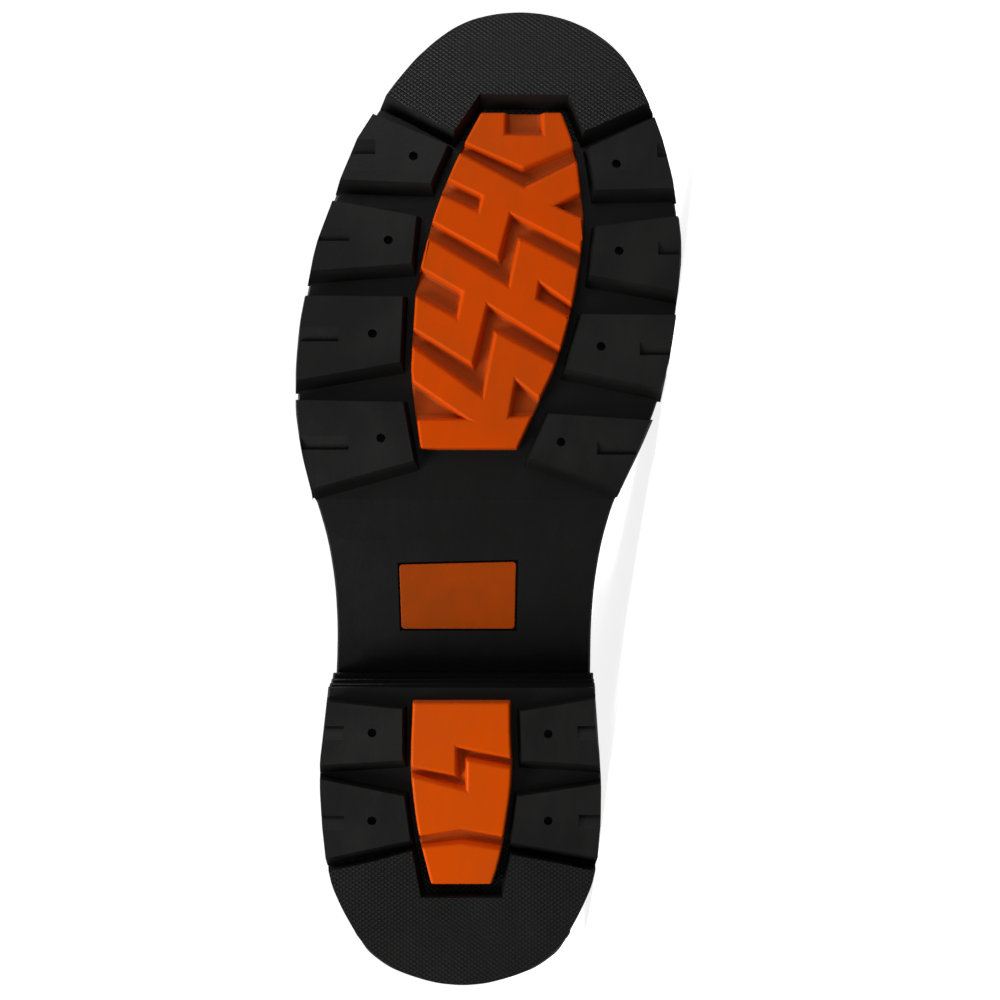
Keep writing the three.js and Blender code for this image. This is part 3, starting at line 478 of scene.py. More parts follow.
@dataclass(frozen=True)
class Metal:
    """Plated steel with fine polishing lines, small dings and darker tarnish in patches."""

    name: str
    color: Color
    tarnish: Color
    roughness: float = 0.24

    def material(self) -> bpy.types.Material:
        """Makes the finish.

        Returns:
            The finished material.
        """
        graph = Graph(self.name)
        lines = graph.noise(1.0, 3.0, graph.scaled(4000.0, 500.0, 500.0))
        dings = graph.noise(420.0, 2.0).rising(0.62, 0.75)
        patches = graph.noise(130.0, 5.0).rising(0.45, 0.75)
        color = graph.blend(patches, self.color, self.tarnish)
        rough = lines * 0.16 + patches * 0.14 + (self.roughness - 0.08)
        normal = graph.bump(lines * 0.4 - dings * 0.8, 0.25, 0.08)
        return graph.finish(Base_Color=color, Roughness=rough, Metallic=1.0, Normal=normal)


@dataclass(frozen=True)
class Thread:
    """Waxed thread, twisted, with a dull sheen."""

    name: str
    color: Color

    def material(self) -> bpy.types.Material:
        """Makes the finish.

        Returns:
            The finished material.
        """
        graph = Graph(self.name)
        twist = graph.noise(2600.0, 2.0)
        color = graph.blend(twist, self.color, toned(self.color, 1.9))
        return graph.finish(Base_Color=color, Roughness=0.62, Normal=graph.bump(twist, 0.6, 0.15))


@dataclass(frozen=True)
class Plain:
    """A backdrop's matt surface."""

    name: str
    color: Color
    glow: float

    def material(self) -> bpy.types.Material:
        """Makes the finish.

        Returns:
            The finished material.
        """
        white = (1.0, 1.0, 1.0, 1.0)
        return Graph(self.name).finish(
            Base_Color=(*self.color, 1.0), Roughness=0.9, Specular_IOR_Level=0.1, Emission_Color=white,
            Emission_Strength=self.glow,
        )


WARM = (1.0, 0.42, 0.12)


@dataclass
class Finishes:
    """Every finish of the boot, made once."""

    tread: bpy.types.Material = field(default_factory=Rubber(
        "tread_rubber", (0.0078, 0.0078, 0.0076), (0.012, 0.012, 0.0116), 0.44, Tread.KNURLED,
        gloss=0.24,
    ).material)
    # The orange grooves' darker, greyer color is painted shade with dust.
    orange: bpy.types.Material = field(default_factory=Rubber(
        "orange_rubber", (0.72, 0.068, 0.0006), (0.58, 0.066, 0.002), 0.42, Tread.WALKED,
        grain=0.2, sunk=(0.43, 0.064, 0.009), sunk_from=2.7, tint=WARM,
    ).material)
    heel_orange: bpy.types.Material = field(default_factory=Rubber(
        "heel_orange_rubber", (0.76, 0.082, 0.0006), (0.66, 0.08, 0.003), 0.4, Tread.WALKED,
        grain=0.2, sunk=(0.5, 0.075, 0.009), sunk_from=2.7, tint=WARM,
    ).material)
    plate_orange: bpy.types.Material = field(default_factory=Rubber(
        "plate_orange_rubber", (0.4, 0.05, 0.0015), (0.3, 0.044, 0.003), 0.55, grain=0.25, tint=WARM,
    ).material)
    midsole: bpy.types.Material = field(default_factory=Rubber(
        "midsole_rubber", (0.013, 0.013, 0.013), (0.022, 0.021, 0.02), 0.5,
    ).material)
    leather: bpy.types.Material = field(default_factory=Leather(
        "black_leather", (0.0075, 0.0072, 0.0069), (0.018, 0.0162, 0.0145), 0.37, coat=0.14,
    ).material)
    strap: bpy.types.Material = field(default_factory=Leather(
        "strap_leather", (0.0088, 0.0084, 0.008), (0.022, 0.0195, 0.017), 0.42, 0.9, 0.4, 0.1,
    ).material)
    lining: bpy.types.Material = field(default_factory=Leather(
        "lining_leather", (0.21, 0.125, 0.062), (0.28, 0.18, 0.1), 0.62, 0.7, 0.3, 0.0,
    ).material)
    steel: bpy.types.Material = field(default_factory=Metal(
        "plated_steel", (0.62, 0.61, 0.58), (0.38, 0.36, 0.33),
    ).material)
    thread: bpy.types.Material = field(default_factory=Thread(
        "waxed_thread", (0.02, 0.019, 0.0175),
    ).material)
    # A near-black plug for each punched hole: painted shade where the hole is.
    hole: bpy.types.Material = field(default_factory=Rubber(
        "painted_hole_shade", (0.0015, 0.0015, 0.0015), (0.003, 0.0028, 0.0026), 0.85, gloss=0.05,
    ).material)


WELD_MM = 0.002
SLIVER_MM = 0.004
FLAT_DEGREES = 1.2


def merged_copy(node: str, planar: bool = True) -> bmesh.types.BMesh:
    """A merged copy of a CAD node's mesh, in the boot's own millimetres.

    Args:
        node: The node's name.
        planar: Whether flat groups of triangles become single faces.

    Returns:
        A new bmesh.
    """
    shape = bmesh.new()
    shape.from_mesh(frame["nodes"][node].data)
    bmesh.ops.transform(shape, matrix=PLACE.inverse, verts=shape.verts)
    bmesh.ops.remove_doubles(shape, verts=shape.verts, dist=WELD_MM)
    bmesh.ops.dissolve_degenerate(shape, dist=SLIVER_MM, edges=shape.edges)
    if planar:
        bmesh.ops.dissolve_limit(
            shape, angle_limit=math.radians(FLAT_DEGREES), use_dissolve_boundaries=False,
            verts=shape.verts, edges=shape.edges,
        )
    return shape


def make_piece(
    shape: bmesh.types.BMesh, name: str, material: bpy.types.Material,
    nodes: Sequence[str] = (), smooth: bool = True,
) -> bpy.types.Object:
    """Turns a bmesh in the boot's millimetres into a piece that rides on the boot.

    Args:
        shape: The finished bmesh, which is freed.
        name: The piece's name.
        material: Its finish.
        nodes: CAD nodes that it stands for.
        smooth: Whether every face is shaded smooth, or each keeps its own shading.

    Returns:
        The new object.
    """
    bmesh.ops.transform(shape, matrix=PLACE.matrix, verts=shape.verts)
    if smooth:
        for face in shape.faces:
            face.smooth = True
    mesh = bpy.data.meshes.new(name)
    shape.to_mesh(mesh)
    shape.free()
    piece = bpy.data.objects.new(name, mesh)
    bpy.context.scene.collection.objects.link(piece)
    mesh.materials.append(material)
    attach(piece, "root")
    if nodes:
        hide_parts(*nodes)
    log.info("%s: %d faces", name, len(mesh.polygons))
    return piece


def bevelled(
    piece: bpy.types.Object, width_mm: float, segments: int = 2, angle: float = 28.0,
    clamped: bool = True,
) -> None:
    """Rounds a piece's sharp edges.

    Args:
        piece: The piece.
        width_mm: How wide the rounding is.
        segments: Its steps.
        angle: Edges sharper than this are rounded, in degrees.
        clamped: Whether the rounding narrows where edges lie close together.
    """
    bevel = piece.modifiers.new("rounded edges", "BEVEL")
    bevel.width = width_mm * MM
    bevel.segments = segments
    bevel.limit_method = "ANGLE"
    bevel.angle_limit = math.radians(angle)
    bevel.use_clamp_overlap = clamped
    bevel.harden_normals = True
    weighted = piece.modifiers.new("even shading", "WEIGHTED_NORMAL")
    weighted.keep_sharp = True


def thicken(piece: bpy.types.Object, name: str, thickness_mm: float) -> None:
    """Gives a sheet its thickness, outward from its own surface.

    Args:
        piece: The piece.
        name: The modifier's name.
        thickness_mm: The thickness.
    """
    thick = piece.modifiers.new(name, "SOLIDIFY")
    thick.thickness = thickness_mm * MM
    thick.offset = 1.0


@dataclass
class SoleUnit:
    """The rubber sole: black lugs and heel with the orange inserts, midsole and welt.

    Each pair of places is a ramp: nothing is moved at the first, all of it from the second on. The
    rim is where a place lies far enough from the middle line, which swings to the inner side by
    ball_shift over ball_run.
    """

    lug_round: float = 0.75
    insert_round: float = 0.7
    layer_round: float = 0.5
    plate_round: float = 0.3
    insole_round: float = 0.6
    plate_corner: float = 1.1
    rim_angles: tuple[float, float] = (2.5, 27.0)
    curved_angles: tuple[float, float] = (1.5, 27.0)
    lug_depth: float = 4.0
    wall_feet: tuple[float, float] = (5.0, 7.3)
    wall_spread: float = 1.2
    ball_shift: float = 16.0
    ball_run: tuple[float, float] = (130.0, 280.0)
    rim_reach: float = 1.0
    rim_band: tuple[float, float] = (28.0, 52.0)
    rim_start: tuple[float, float] = (150.0, 180.0)
    heel_share: float = 0.7
    heel_band: tuple[float, float] = (28.0, 40.0)
    heel_start: tuple[float, float] = (80.0, 70.0)
    floor_depth: float = 4.5
    floor_reach: float = 0.6
    toe_reach: float = 2.3
    toe_run: tuple[float, float] = (262.0, 292.0)
    heel_reach: float = 0.6
    heel_run: tuple[float, float] = (20.0, 4.0)
    heel_fullness: float = 0.33
    heel_end: tuple[float, float] = (22.0, 0.0)

    @staticmethod
    def _upright(
        shape: bmesh.types.BMesh, low: float, high: float,
    ) -> list[bmesh.types.BMEdge]:
        """Finds the edges that run up the leg and lie between faces that meet at some angle.

        Args:
            shape: The bmesh that is searched.
            low: The smallest angle in degrees.
            high: The largest one.

        Returns:
            The edges.
        """
        found = []
        for edge in shape.edges:
            run = edge.verts[1].co - edge.verts[0].co
            if len(edge.link_faces) == 2 and run.length > 0.2 and abs(run.z) > 0.85 * run.length:
                if math.radians(low) < edge.calc_face_angle(0.0) < math.radians(high):
                    found.append(edge)
        return found

    def _round_rims(self, shape: bmesh.types.BMesh) -> None:
        """Turns the facets of a rim into a curve.

        Args:
            shape: The bmesh that is rounded.
        """
        bmesh.ops.bevel(
            shape, geom=self._upright(shape, *self.rim_angles), offset=34.0, offset_type="PERCENT",
            segments=3, profile=0.5, affect="EDGES", clamp_overlap=True, material=-1,
        )

    def _shade(self, shape: bmesh.types.BMesh) -> None:
        """Shades curved runs of faces smooth and leaves the flat ones flat.

        Args:
            shape: The bmesh that is shaded.
        """
        low, high = [math.radians(angle) for angle in self.curved_angles]
        for face in shape.faces:
            pairs = [edge for edge in face.edges if len(edge.link_faces) == 2]
            walked = all(self.depth(vertex.co) < self.lug_depth for vertex in face.verts)
            level = walked or abs(face.normal.z) > 0.95
            curved = any(low < edge.calc_face_angle(0.0) < high for edge in pairs)
            face.smooth = curved and not level

    @staticmethod
    def depth(place: Vector) -> float:
        """How far a place lies above the walked faces, following the spring of the toe."""
        rise = max(place.x / L - SPRING_START, 0.0) / SPRING_RUN
        return place.z - SPRING_RISE * rise * rise

    def _spread_walls(self, shape: bmesh.types.BMesh) -> None:
        """Lets the walls that face the heel slope further.

        Args:
            shape: The outsole or the heel.
        """
        low, high = self.wall_feet
        for vertex in shape.verts:
            faces_heel = any(
                face.normal.x < -0.6 and abs(face.normal.z) < 0.75 for face in vertex.link_faces
            )
            if low < self.depth(vertex.co) < high and faces_heel:
                vertex.co.x -= self.wall_spread

    def _fill_out(self, shape: bmesh.types.BMesh) -> None:
        """Lets the rim stand a little proud, but never below the floor.

        Args:
            shape: The outsole or the heel.
        """
        for vertex in shape.verts:
            place = vertex.co
            off = place.y - self.ball_shift * ramp(place.x, *self.ball_run)
            rim = ramp(abs(off), *self.rim_band) * ramp(place.x, *self.rim_start)
            heel_rim = ramp(abs(off), *self.heel_band) * ramp(place.x, *self.heel_start)
            reach = self.rim_reach * (rim + self.heel_share * heel_rim)
            if self.depth(place) > self.floor_depth:
                reach += self.floor_reach * rim
            place.y += math.copysign(reach, off)
            place.x += self.toe_reach * ramp(place.x, *self.toe_run)
            place.x -= self.heel_reach * ramp(place.x, *self.heel_run)
            place.y *= 1.0 + self.heel_fullness * ramp(place.x, *self.heel_end) ** 3
            sunk = PLACE.point(*place).z
            if sunk < 0.0:
                place.y -= sunk / (PLACE.inner.z * MM)

    def build(self, finishes: Finishes) -> None:
        """Makes the sole's pieces.

        Args:
            finishes: The boot's finishes.
        """
        rubber = (
            ("outsole", finishes.tread, "black_rubber", self.lug_round),
            ("heel_block", finishes.tread, "black_rubber", self.lug_round),
            ("forefoot_insert", finishes.orange, "orange_rubber", self.insert_round),
            ("heel_insert", finishes.heel_orange, "orange_rubber", self.insert_round),
            ("arch_plate", finishes.plate_orange, "orange_rubber", self.plate_round),
            ("midsole", finishes.midsole, "black_rubber", self.layer_round),
            ("welt", finishes.midsole, "black_rubber", self.layer_round),
        )
        for node, material, slot, rounding in rubber:
            shape = merged_copy(node)
            if node == "arch_plate":
                bmesh.ops.bevel(
                    shape, geom=self._upright(shape, 60.0, 120.0), offset=self.plate_corner, segments=4,
                    profile=0.5, affect="EDGES", material=-1,
                )
            elif node != "heel_insert":
                self._round_rims(shape)
            shape.normal_update()
            if node in ("outsole", "heel_block"):
                self._spread_walls(shape)
                self._fill_out(shape)
                shape.normal_update()
            self._shade(shape)
            piece = make_piece(shape, f"{node}_moulded", material, (node,), smooth=False)
            bevelled(piece, rounding, 3, clamped=not node.endswith("insert"))
        insole = make_piece(
            merged_copy("insole"), "insole_board", finishes.lining, ("insole",),
        )
        bevelled(insole, self.insole_round)


@dataclass(frozen=True)
class Crease:
    """One soft fold of the upper, drawn in the side view.

    at is a point of the fold as along and up, slope its direction in degrees, depth how deep it is
    (a ridge if negative), width its half-width, reach how far it runs from at, and side the side it
    is on: 1 inner, -1 outer, 0 both.
    """

    at: tuple[float, float]
    slope: float
    depth: float
    width: float
    reach: float
    side: int = 0
    bow: float = 0.0

    WANDER = 1.3
    WANDER_PACE = 0.11
    SHOULDER_AT = 2.1
    SHOULDER_SHARE = 0.35
    SIDE_FADE = 7.0

    def push(self, point: Vector) -> float:
        """How far the leather sinks at a point of the boot.

        Args:
            point: The point in the boot's millimetres.

        Returns:
            A depth in millimetres, positive inward.
        """
        turn = math.radians(self.slope)
        run = Vector((math.cos(turn), math.sin(turn)))
        gap = Vector((point.x - self.at[0], point.z - self.at[1]))
        along = gap.dot(run)
        off = gap.x * -run.y + gap.y * run.x
        off += self.bow * (along / self.reach) ** 2
        off += self.WANDER * math.sin(point.y * self.WANDER_PACE + self.at[0])
        if abs(off) > 4 * self.width or abs(along) > 1.6 * self.reach:
            return 0.0
        fade = math.exp(-((along / self.reach) ** 4) * 1.6)
        if self.side:
            fade *= 1.0 / (1.0 + math.exp(-self.side * point.y / self.SIDE_FADE))
        trough = math.exp(-((off / self.width) ** 2))
        shoulder = math.exp(-(((abs(off) - self.SHOULDER_AT * self.width) / self.width) ** 2))
        return self.depth * fade * (trough - self.SHOULDER_SHARE * shoulder)


CREASES = (
    Crease((214, 84), 78, 1.7, 4.2, 34, bow=7),
    Crease((227, 80), 84, 1.3, 3.8, 30, bow=6),
    Crease((201, 90), 70, 1.5, 4.0, 32, bow=6),
    Crease((240, 74), 88, 0.8, 3.4, 24, bow=4),
    Crease((186, 99), 60, 1.1, 4.4, 26, bow=4),
    Crease((140, 168), -4, 2.2, 6.5, 30, bow=-5),
    Crease((134, 190), -8, 1.8, 6.0, 34, bow=-6),
    Crease((60, 172), 12, 1.6, 6.5, 38, bow=5),
    Crease((48, 148), 9, 1.5, 5.5, 34, bow=4),
    Crease((120, 208), -14, 1.2, 7.0, 36, side=-1, bow=5),
    Crease((105, 160), 16, 1.3, 5.5, 26, side=1, bow=-4),
    Crease((60, 205), 6, 0.9, 7.0, 30, side=1, bow=4),
    Crease((118, 88), 30, 1.0, 6.0, 26, side=1, bow=5),
    Crease((128, 84), 34, 0.9, 6.0, 24, side=-1, bow=5),
)


@dataclass
class Upper:
    """The leather upper: one smooth hollow form with its folds, and the pieces sewn on it.

    gap lies under every overlay and strap, whose thicknesses are overlay and strap. The vamp's layer
    lies between the heights in vamp. Folds fade out over sole_hold and collar_hold. The lining starts
    at lining_foot and ends at lining_top, a line of the side view. Each *_rows gives how far inside a
    piece's edge its stitches run.
    """

    levels: int = 3
    hard_edge: float = 55.0
    hardness: float = 0.8
    gap: float = 0.3
    overlay: float = 1.5
    strap: float = 2.4
    vamp: tuple[float, float] = (0.03, 0.85)
    vamp_round: float = 0.3
    sag: tuple[tuple[float, float], ...] = ((0.5, 0.02), (0.25, 0.05))
    sole_hold: tuple[float, float] = (48.0, 68.0)
    collar_hold: tuple[float, float] = (272.0, 258.0)
    lining_gap: float = 0.05
    lining_thickness: float = 0.7
    lining_foot: float = 30.0
    lining_top: tuple[tuple[float, float], ...] = ((200.0, 273.0), (-30.0, 266.0))
    counter_rows: tuple[float, ...] = (2.4, 4.8)
    overlay_rows: tuple[float, ...] = (2.4,)
    vamp_rows: tuple[float, ...] = (2.4, 5.0)
    back_rows: tuple[float, ...] = (-4.6, 4.6)
    collar_rows: tuple[tuple[tuple[float, float], ...], ...] = (
        ((-30.0, 265.0), (200.0, 272.4)), ((-30.0, 267.6), (200.0, 275.0)),
    )
    collar_thread: float = 0.05
    welt_thread: tuple[float, float] = (3.1, -0.35)
    spine: tuple[tuple[float, float, float], ...] = (
        (275.0, 15.0, 46.0), (235.0, 11.0, 52.0), (185.0, 4.0, 62.0), (130.0, 0.0, 84.0),
        (88.0, 0.0, 125.0), (78.0, 0.0, 180.0), (74.0, 0.0, 300.0),
    )

    def __post_init__(self) -> None:
        """Makes the smooth wall and the skin that overlays are cut from."""
        self.wall = self._smooth_wall()
        self.skin = self._outer_skin()

    def _smooth_wall(self) -> bmesh.types.BMesh:
        """Subdivides and folds the CAD wall.

        Returns:
            The wall in the boot's millimetres.
        """
        cage = merged_copy("upper", planar=False)
        bmesh.ops.join_triangles(
            cage, faces=cage.faces, angle_face_threshold=math.radians(50),
            angle_shape_threshold=math.radians(60),
        )
        crease = cage.edges.layers.float.new("crease_edge")
        for edge in cage.edges:
            turn = edge.calc_face_angle(0.0) if len(edge.link_faces) == 2 else 0.0
            if turn > math.radians(self.hard_edge):
                edge[crease] = self.hardness
        mesh = bpy.data.meshes.new("upper_cage")
        cage.to_mesh(mesh)
        cage.free()
        holder = bpy.data.objects.new("upper_cage", mesh)
        bpy.context.scene.collection.objects.link(holder)
        rounding = holder.modifiers.new("smooth", "SUBSURF")
        rounding.levels = self.levels
        rounding.render_levels = self.levels
        evaluated = holder.evaluated_get(bpy.context.evaluated_depsgraph_get())
        wall = bmesh.new()
        wall.from_mesh(evaluated.to_mesh())
        bpy.data.objects.remove(holder)
        wall.normal_update()
        for vertex in wall.verts:
            self._fold(vertex)
        wall.normal_update()
        return wall

    def _outward(self, point: Vector) -> Vector:
        """Finds the direction away from the boot's inside.

        Args:
            point: A place in the boot's millimetres.

        Returns:
            The direction from the nearest place of the spine.
        """
        best = None
        for start, end in zip(self.spine, self.spine[1:]):
            a = Vector(start)
            b = Vector(end)
            share = ramp((point - a).dot(b - a) / (b - a).length_squared, 0.0, 1.0)
            gap = point - a.lerp(b, share)
            if best is None or gap.length < best.length:
                best = gap
        return best.normalized()

    def _fold(self, vertex: bmesh.types.BMVert) -> None:
        """Moves one vertex of the wall by every crease that reaches it.

        Args:
            vertex: The vertex.
        """
        depth = sum(crease.push(vertex.co) for crease in CREASES)
        sag = sum(size * noise.noise(vertex.co * pace) for size, pace in self.sag)
        free = ramp(vertex.co.z, *self.sole_hold) * ramp(vertex.co.z, *self.collar_hold)
        vertex.co -= self._outward(vertex.co) * (depth + sag) * free

    def _facing_out(self, face: bmesh.types.BMFace) -> float:
        """How squarely a face looks away from the boot's inside, from -1 to 1."""
        return face.normal.dot(self._outward(face.calc_center_median()))

    def _outer_skin(self) -> bmesh.types.BMesh:
        """Takes the outer faces of the wall alone.

        Returns:
            The skin that overlays are cut from.
        """
        skin = self.wall.copy()
        inner = [face for face in skin.faces if self._facing_out(face) < 0.25]
        bmesh.ops.delete(skin, geom=inner, context="FACES")
        skin.normal_update()
        return skin

    @staticmethod
    def cut(shape: bmesh.types.BMesh, point: Sequence[float], away: Sequence[float]) -> None:
        """Trims a shape by a plane.

        Args:
            shape: The shape.
            point: A point of the plane.
            away: The direction of the part that goes.
        """
        bmesh.ops.bisect_plane(
            shape, geom=[*shape.verts, *shape.edges, *shape.faces], dist=0.001, plane_co=point,
            plane_no=away, clear_outer=True,
        )

    def trace(
        self, point: Sequence[float], away: Sequence[float], keep: Callable[[Vector], bool],
    ) -> list[list[tuple[Vector, Vector]]]:
        """The lines where a plane cuts the skin.

        Args:
            point: A point of the plane.
            away: Its normal.
            keep: Says which points of the line stay.

        Returns:
            Runs of points, each with the skin's normal there.
        """
        shape = self.skin.copy()
        cut = bmesh.ops.bisect_plane(
            shape, geom=[*shape.verts, *shape.edges, *shape.faces], dist=0.001, plane_co=point,
            plane_no=away,
        )["geom_cut"]
        shape.normal_update()
        links: dict[bmesh.types.BMVert, list[bmesh.types.BMVert]] = {}
        for edge in cut:
            if isinstance(edge, bmesh.types.BMEdge) and all(keep(vertex.co) for vertex in edge.verts):
                for vertex in edge.verts:
                    links.setdefault(vertex, []).append(edge.other_vert(vertex))
        runs = []
        while links:
            ends = (vertex for vertex, near in links.items() if len(near) == 1)
            start = next(ends, next(iter(links)))
            run = [start]
            following = links.pop(start)
            while following:
                vertex = following[0]
                if vertex not in links:
                    break
                run.append(vertex)
                following = [near for near in links.pop(vertex) if near in links]
            if len(run) > 2:
                runs.append([(vertex.co.copy(), vertex.normal.copy()) for vertex in run])
        shape.free()
        return runs

    def feather_line(self) -> list[list[tuple[Vector, Vector]]]:
        """Follows the lower edge of the skin, where it meets the welt.

        Returns:
            One run of points, each with a direction straight outward.
        """
        edges = [edge for edge in self.skin.edges if edge.is_boundary]
        low = {vertex for edge in edges for vertex in edge.verts if vertex.co.z < 90}
        ordered = sorted(low, key=lambda vertex: math.atan2(vertex.co.y * 2.2, vertex.co.x - 150.0))
        return [[(vertex.co.copy(), self._sideways(vertex.normal)) for vertex in ordered]]

    @staticmethod
    def _sideways(normal: Vector) -> Vector:
        """A direction laid level with the sole."""
        return Vector((normal.x, normal.y, 0.0)).normalized()

    def cover(
        self, name: str, node: str, cuts: Iterable[tuple[Sequence[float], Sequence[float]]],
        low: float, high: float, material: bpy.types.Material, rounding: float = 0.45,
    ) -> None:
        """A piece of leather cut from the skin's own form and raised off it.

        Args:
            name: The piece's name.
            node: The CAD node that it stands for.
            cuts: Planes that trim it, each a point and the direction that goes.
            low: How far its underside lies off the skin.
            high: How far its face lies off the skin.
            material: Its finish.
            rounding: The rounding of its edges.
        """
        shape = self.skin.copy()
        for point, away in cuts:
            self.cut(shape, point, away)
        self._keep_largest(shape)
        shape.normal_update()
        for vertex in shape.verts:
            vertex.co += vertex.normal * low
        piece = make_piece(shape, name, material, (node,) if node else ())
        thicken(piece, "leather", high - low)
        bevelled(piece, rounding, 2, 50.0)

    @staticmethod
    def _keep_largest(shape: bmesh.types.BMesh) -> None:
        """Drops stray islands, keeping the one with the most faces.

        Args:
            shape: The bmesh that is cleared.
        """
        left = set(shape.faces)
        islands = []
        while left:
            queue = [left.pop()]
            island = set(queue)
            while queue:
                for edge in queue.pop().edges:
                    for face in edge.link_faces:
                        if face in left:
                            left.discard(face)
                            island.add(face)
                            queue.append(face)
            islands.append(island)
        islands.sort(key=len)
        stray = [face for island in islands[:-1] for face in island]
        if stray:
            bmesh.ops.delete(shape, geom=stray, context="FACES")

    def build(self, finishes: Finishes) -> None:
        """Makes the upper and the pieces sewn on it.

        Args:
            finishes: The boot's finishes.
        """
        make_piece(self.wall.copy(), "upper_leather", finishes.leather, ("upper",))
        self._line(finishes)
        top = self.gap + self.overlay
        for overlay in OVERLAYS:
            self.cover(
                overlay.name, overlay.node, overlay.planes(), self.gap, top, finishes.leather,
            )
        self.cover("vamp", "", side_planes(VAMP), *self.vamp, finishes.leather, self.vamp_round)
        for belt in (INSTEP_BELT, TOP_BELT):
            belt.build(self, finishes)
        self._sew(finishes)

    def _line(self, finishes: Finishes) -> None:
        """Lines the inside with thin leather that ends below the collar's edge.

        Args:
            finishes: The boot's finishes.
        """
        lining = self.wall.copy()
        outer = [face for face in lining.faces if self._facing_out(face) > -0.5]
        bmesh.ops.delete(lining, geom=outer, context="FACES")
        self._keep_largest(lining)
        foot = ((0.0, 0.0, self.lining_foot), (0.0, 0.0, -1.0))
        for point, away in (foot, side_plane(*self.lining_top)):
            self.cut(lining, point, away)
        lining.normal_update()
        for vertex in lining.verts:
            vertex.co += vertex.normal * self.lining_gap
        piece = make_piece(lining, "shaft_lining", finishes.lining)
        thicken(piece, "lining", self.lining_thickness)

    def _sew(self, finishes: Finishes) -> None:
        """Sews every row of stitches.

        Args:
            finishes: The boot's finishes.
        """
        top = self.gap + self.overlay
        sewing = Sewing()
        for overlay in OVERLAYS:
            if overlay.middle:
                self._sew_back(sewing, overlay.outline, top)
                continue
            for inset in self.counter_rows if overlay.node == "counter" else self.overlay_rows:
                self._sew_outline(sewing, overlay.outline, inset, top, overlay.side)
        for inset in self.vamp_rows:
            line = inset_outline(VAMP, inset)
            for start, end in ((line[4], line[5]), (line[5], line[0])):
                self.sew_line(sewing, start, end, self.vamp[1])
        for start, end in self.collar_rows:
            self.sew_line(sewing, start, end, self.collar_thread)
        for belt in (INSTEP_BELT, TOP_BELT):
            belt.sew(self, sewing)
        sewing.piece("leather_stitches", finishes.thread, "black_leather")
        sewing = Sewing(pitch=5.2, length=4.3, radius=0.55)
        out_by, height = self.welt_thread
        up = Vector((0.0, 0.0, 1.0))
        welt = [[(point + out * out_by, up) for point, out in run] for run in self.feather_line()]
        sewing.rows([run + run[:1] for run in welt], height)
        sewing.piece("welt_stitches", finishes.thread, "black_leather")

    def _sew_back(self, sewing: "Sewing", outline: Sequence[Sequence[float]], height: float) -> None:
        """Sews the strip over the back seam along its two sides.

        Args:
            sewing: The stitches so far.
            outline: The strip's outline in the side view.
            height: How far the rows lie off the skin.
        """
        low, high = outline[0][1], outline[2][1]

        def keep(at: Vector) -> bool:
            """Says whether a point lies on the strip."""
            return at.x < 50 and low + 3 < at.z < high - 2

        for across in self.back_rows:
            sewing.rows(self.trace((0.0, across, 0.0), (0.0, 1.0, 0.0), keep), height)

    def _sew_outline(
        self, sewing: "Sewing", outline: Sequence[Sequence[float]], inset: float, height: float,
        side: int,
    ) -> None:
        """Sews around an outline of the side view, some way inside it.

        Args:
            sewing: The stitches so far.
            outline: The outline, against the clock.
            inset: How far inside it the row runs.
            height: How far the row lies off the skin.
            side: 1 for the inner side, -1 for the outer one, 0 for both.
        """
        line = inset_outline(outline, inset)
        for start, end in zip(line, [*line[1:], line[0]]):
            self.sew_line(sewing, start, end, height, side)

    def sew_line(
        self, sewing: "Sewing", start: Sequence[float], end: Sequence[float], height: float,
        side: int = 0,
    ) -> None:
        """Sews along one straight line of the side view.

        Args:
            sewing: The stitches so far.
            start: Where the line starts, along and up.
            end: Where it ends.
            height: How far the row lies off the skin.
            side: 1 for the inner side, -1 for the outer one, 0 for both.
        """
        run = Vector((end[0] - start[0], end[1] - start[1]))
        length = run.length
        run.normalize()

        def keep(at: Vector) -> bool:
            """Says whether a point lies on the row."""
            share = (at.x - start[0]) * run.x + (at.z - start[1]) * run.y
            return 0.0 <= share <= length and at.y * side >= 0.0

        sewing.rows(self.trace(*side_plane(start, end), keep), height)


def side_plane(start: Sequence[float], end: Sequence[float]) -> tuple[tuple, tuple]:
    """The plane through a line of the side view, whose right side is cut away.

    Args:
        start: Where the line starts, as along and up in millimetres.
        end: Where it ends.

    Returns:
        A point of the plane and the direction that goes.
    """
    run = Vector((end[0] - start[0], end[1] - start[1])).normalized()
    return (start[0], 0.0, start[1]), (run.y, 0.0, -run.x)


def side_planes(outline: Sequence[Sequence[float]]) -> list[tuple[tuple, tuple]]:
    """The planes around a convex outline of the side view, given against the clock."""
    return [side_plane(start, end) for start, end in zip(outline, [*outline[1:], outline[0]])]


def inset_outline(outline: Sequence[Sequence[float]], inset: float) -> list[Vector]:
    """The outline drawn again some way inside itself.

    Args:
        outline: A convex outline of the side view, against the clock.
        inset: How far inside.

    Returns:
        Its corners.
    """
    corners = [Vector(corner) for corner in outline]
    count = len(corners)
    lines = []
    for i, corner in enumerate(corners):
        run = (corners[(i + 1) % count] - corner).normalized()
        lines.append((corner + Vector((-run.y, run.x)) * inset, run))
    made = []
    for i in range(count):
        (a, u), (b, v) = lines[i - 1], lines[i]
        cross = u.x * v.y - u.y * v.x
        if abs(cross) < 1e-6:
            made.append(b)
            continue
        gap = b - a
        made.append(a + u * ((gap.x * v.y - gap.y * v.x) / cross))
    return made


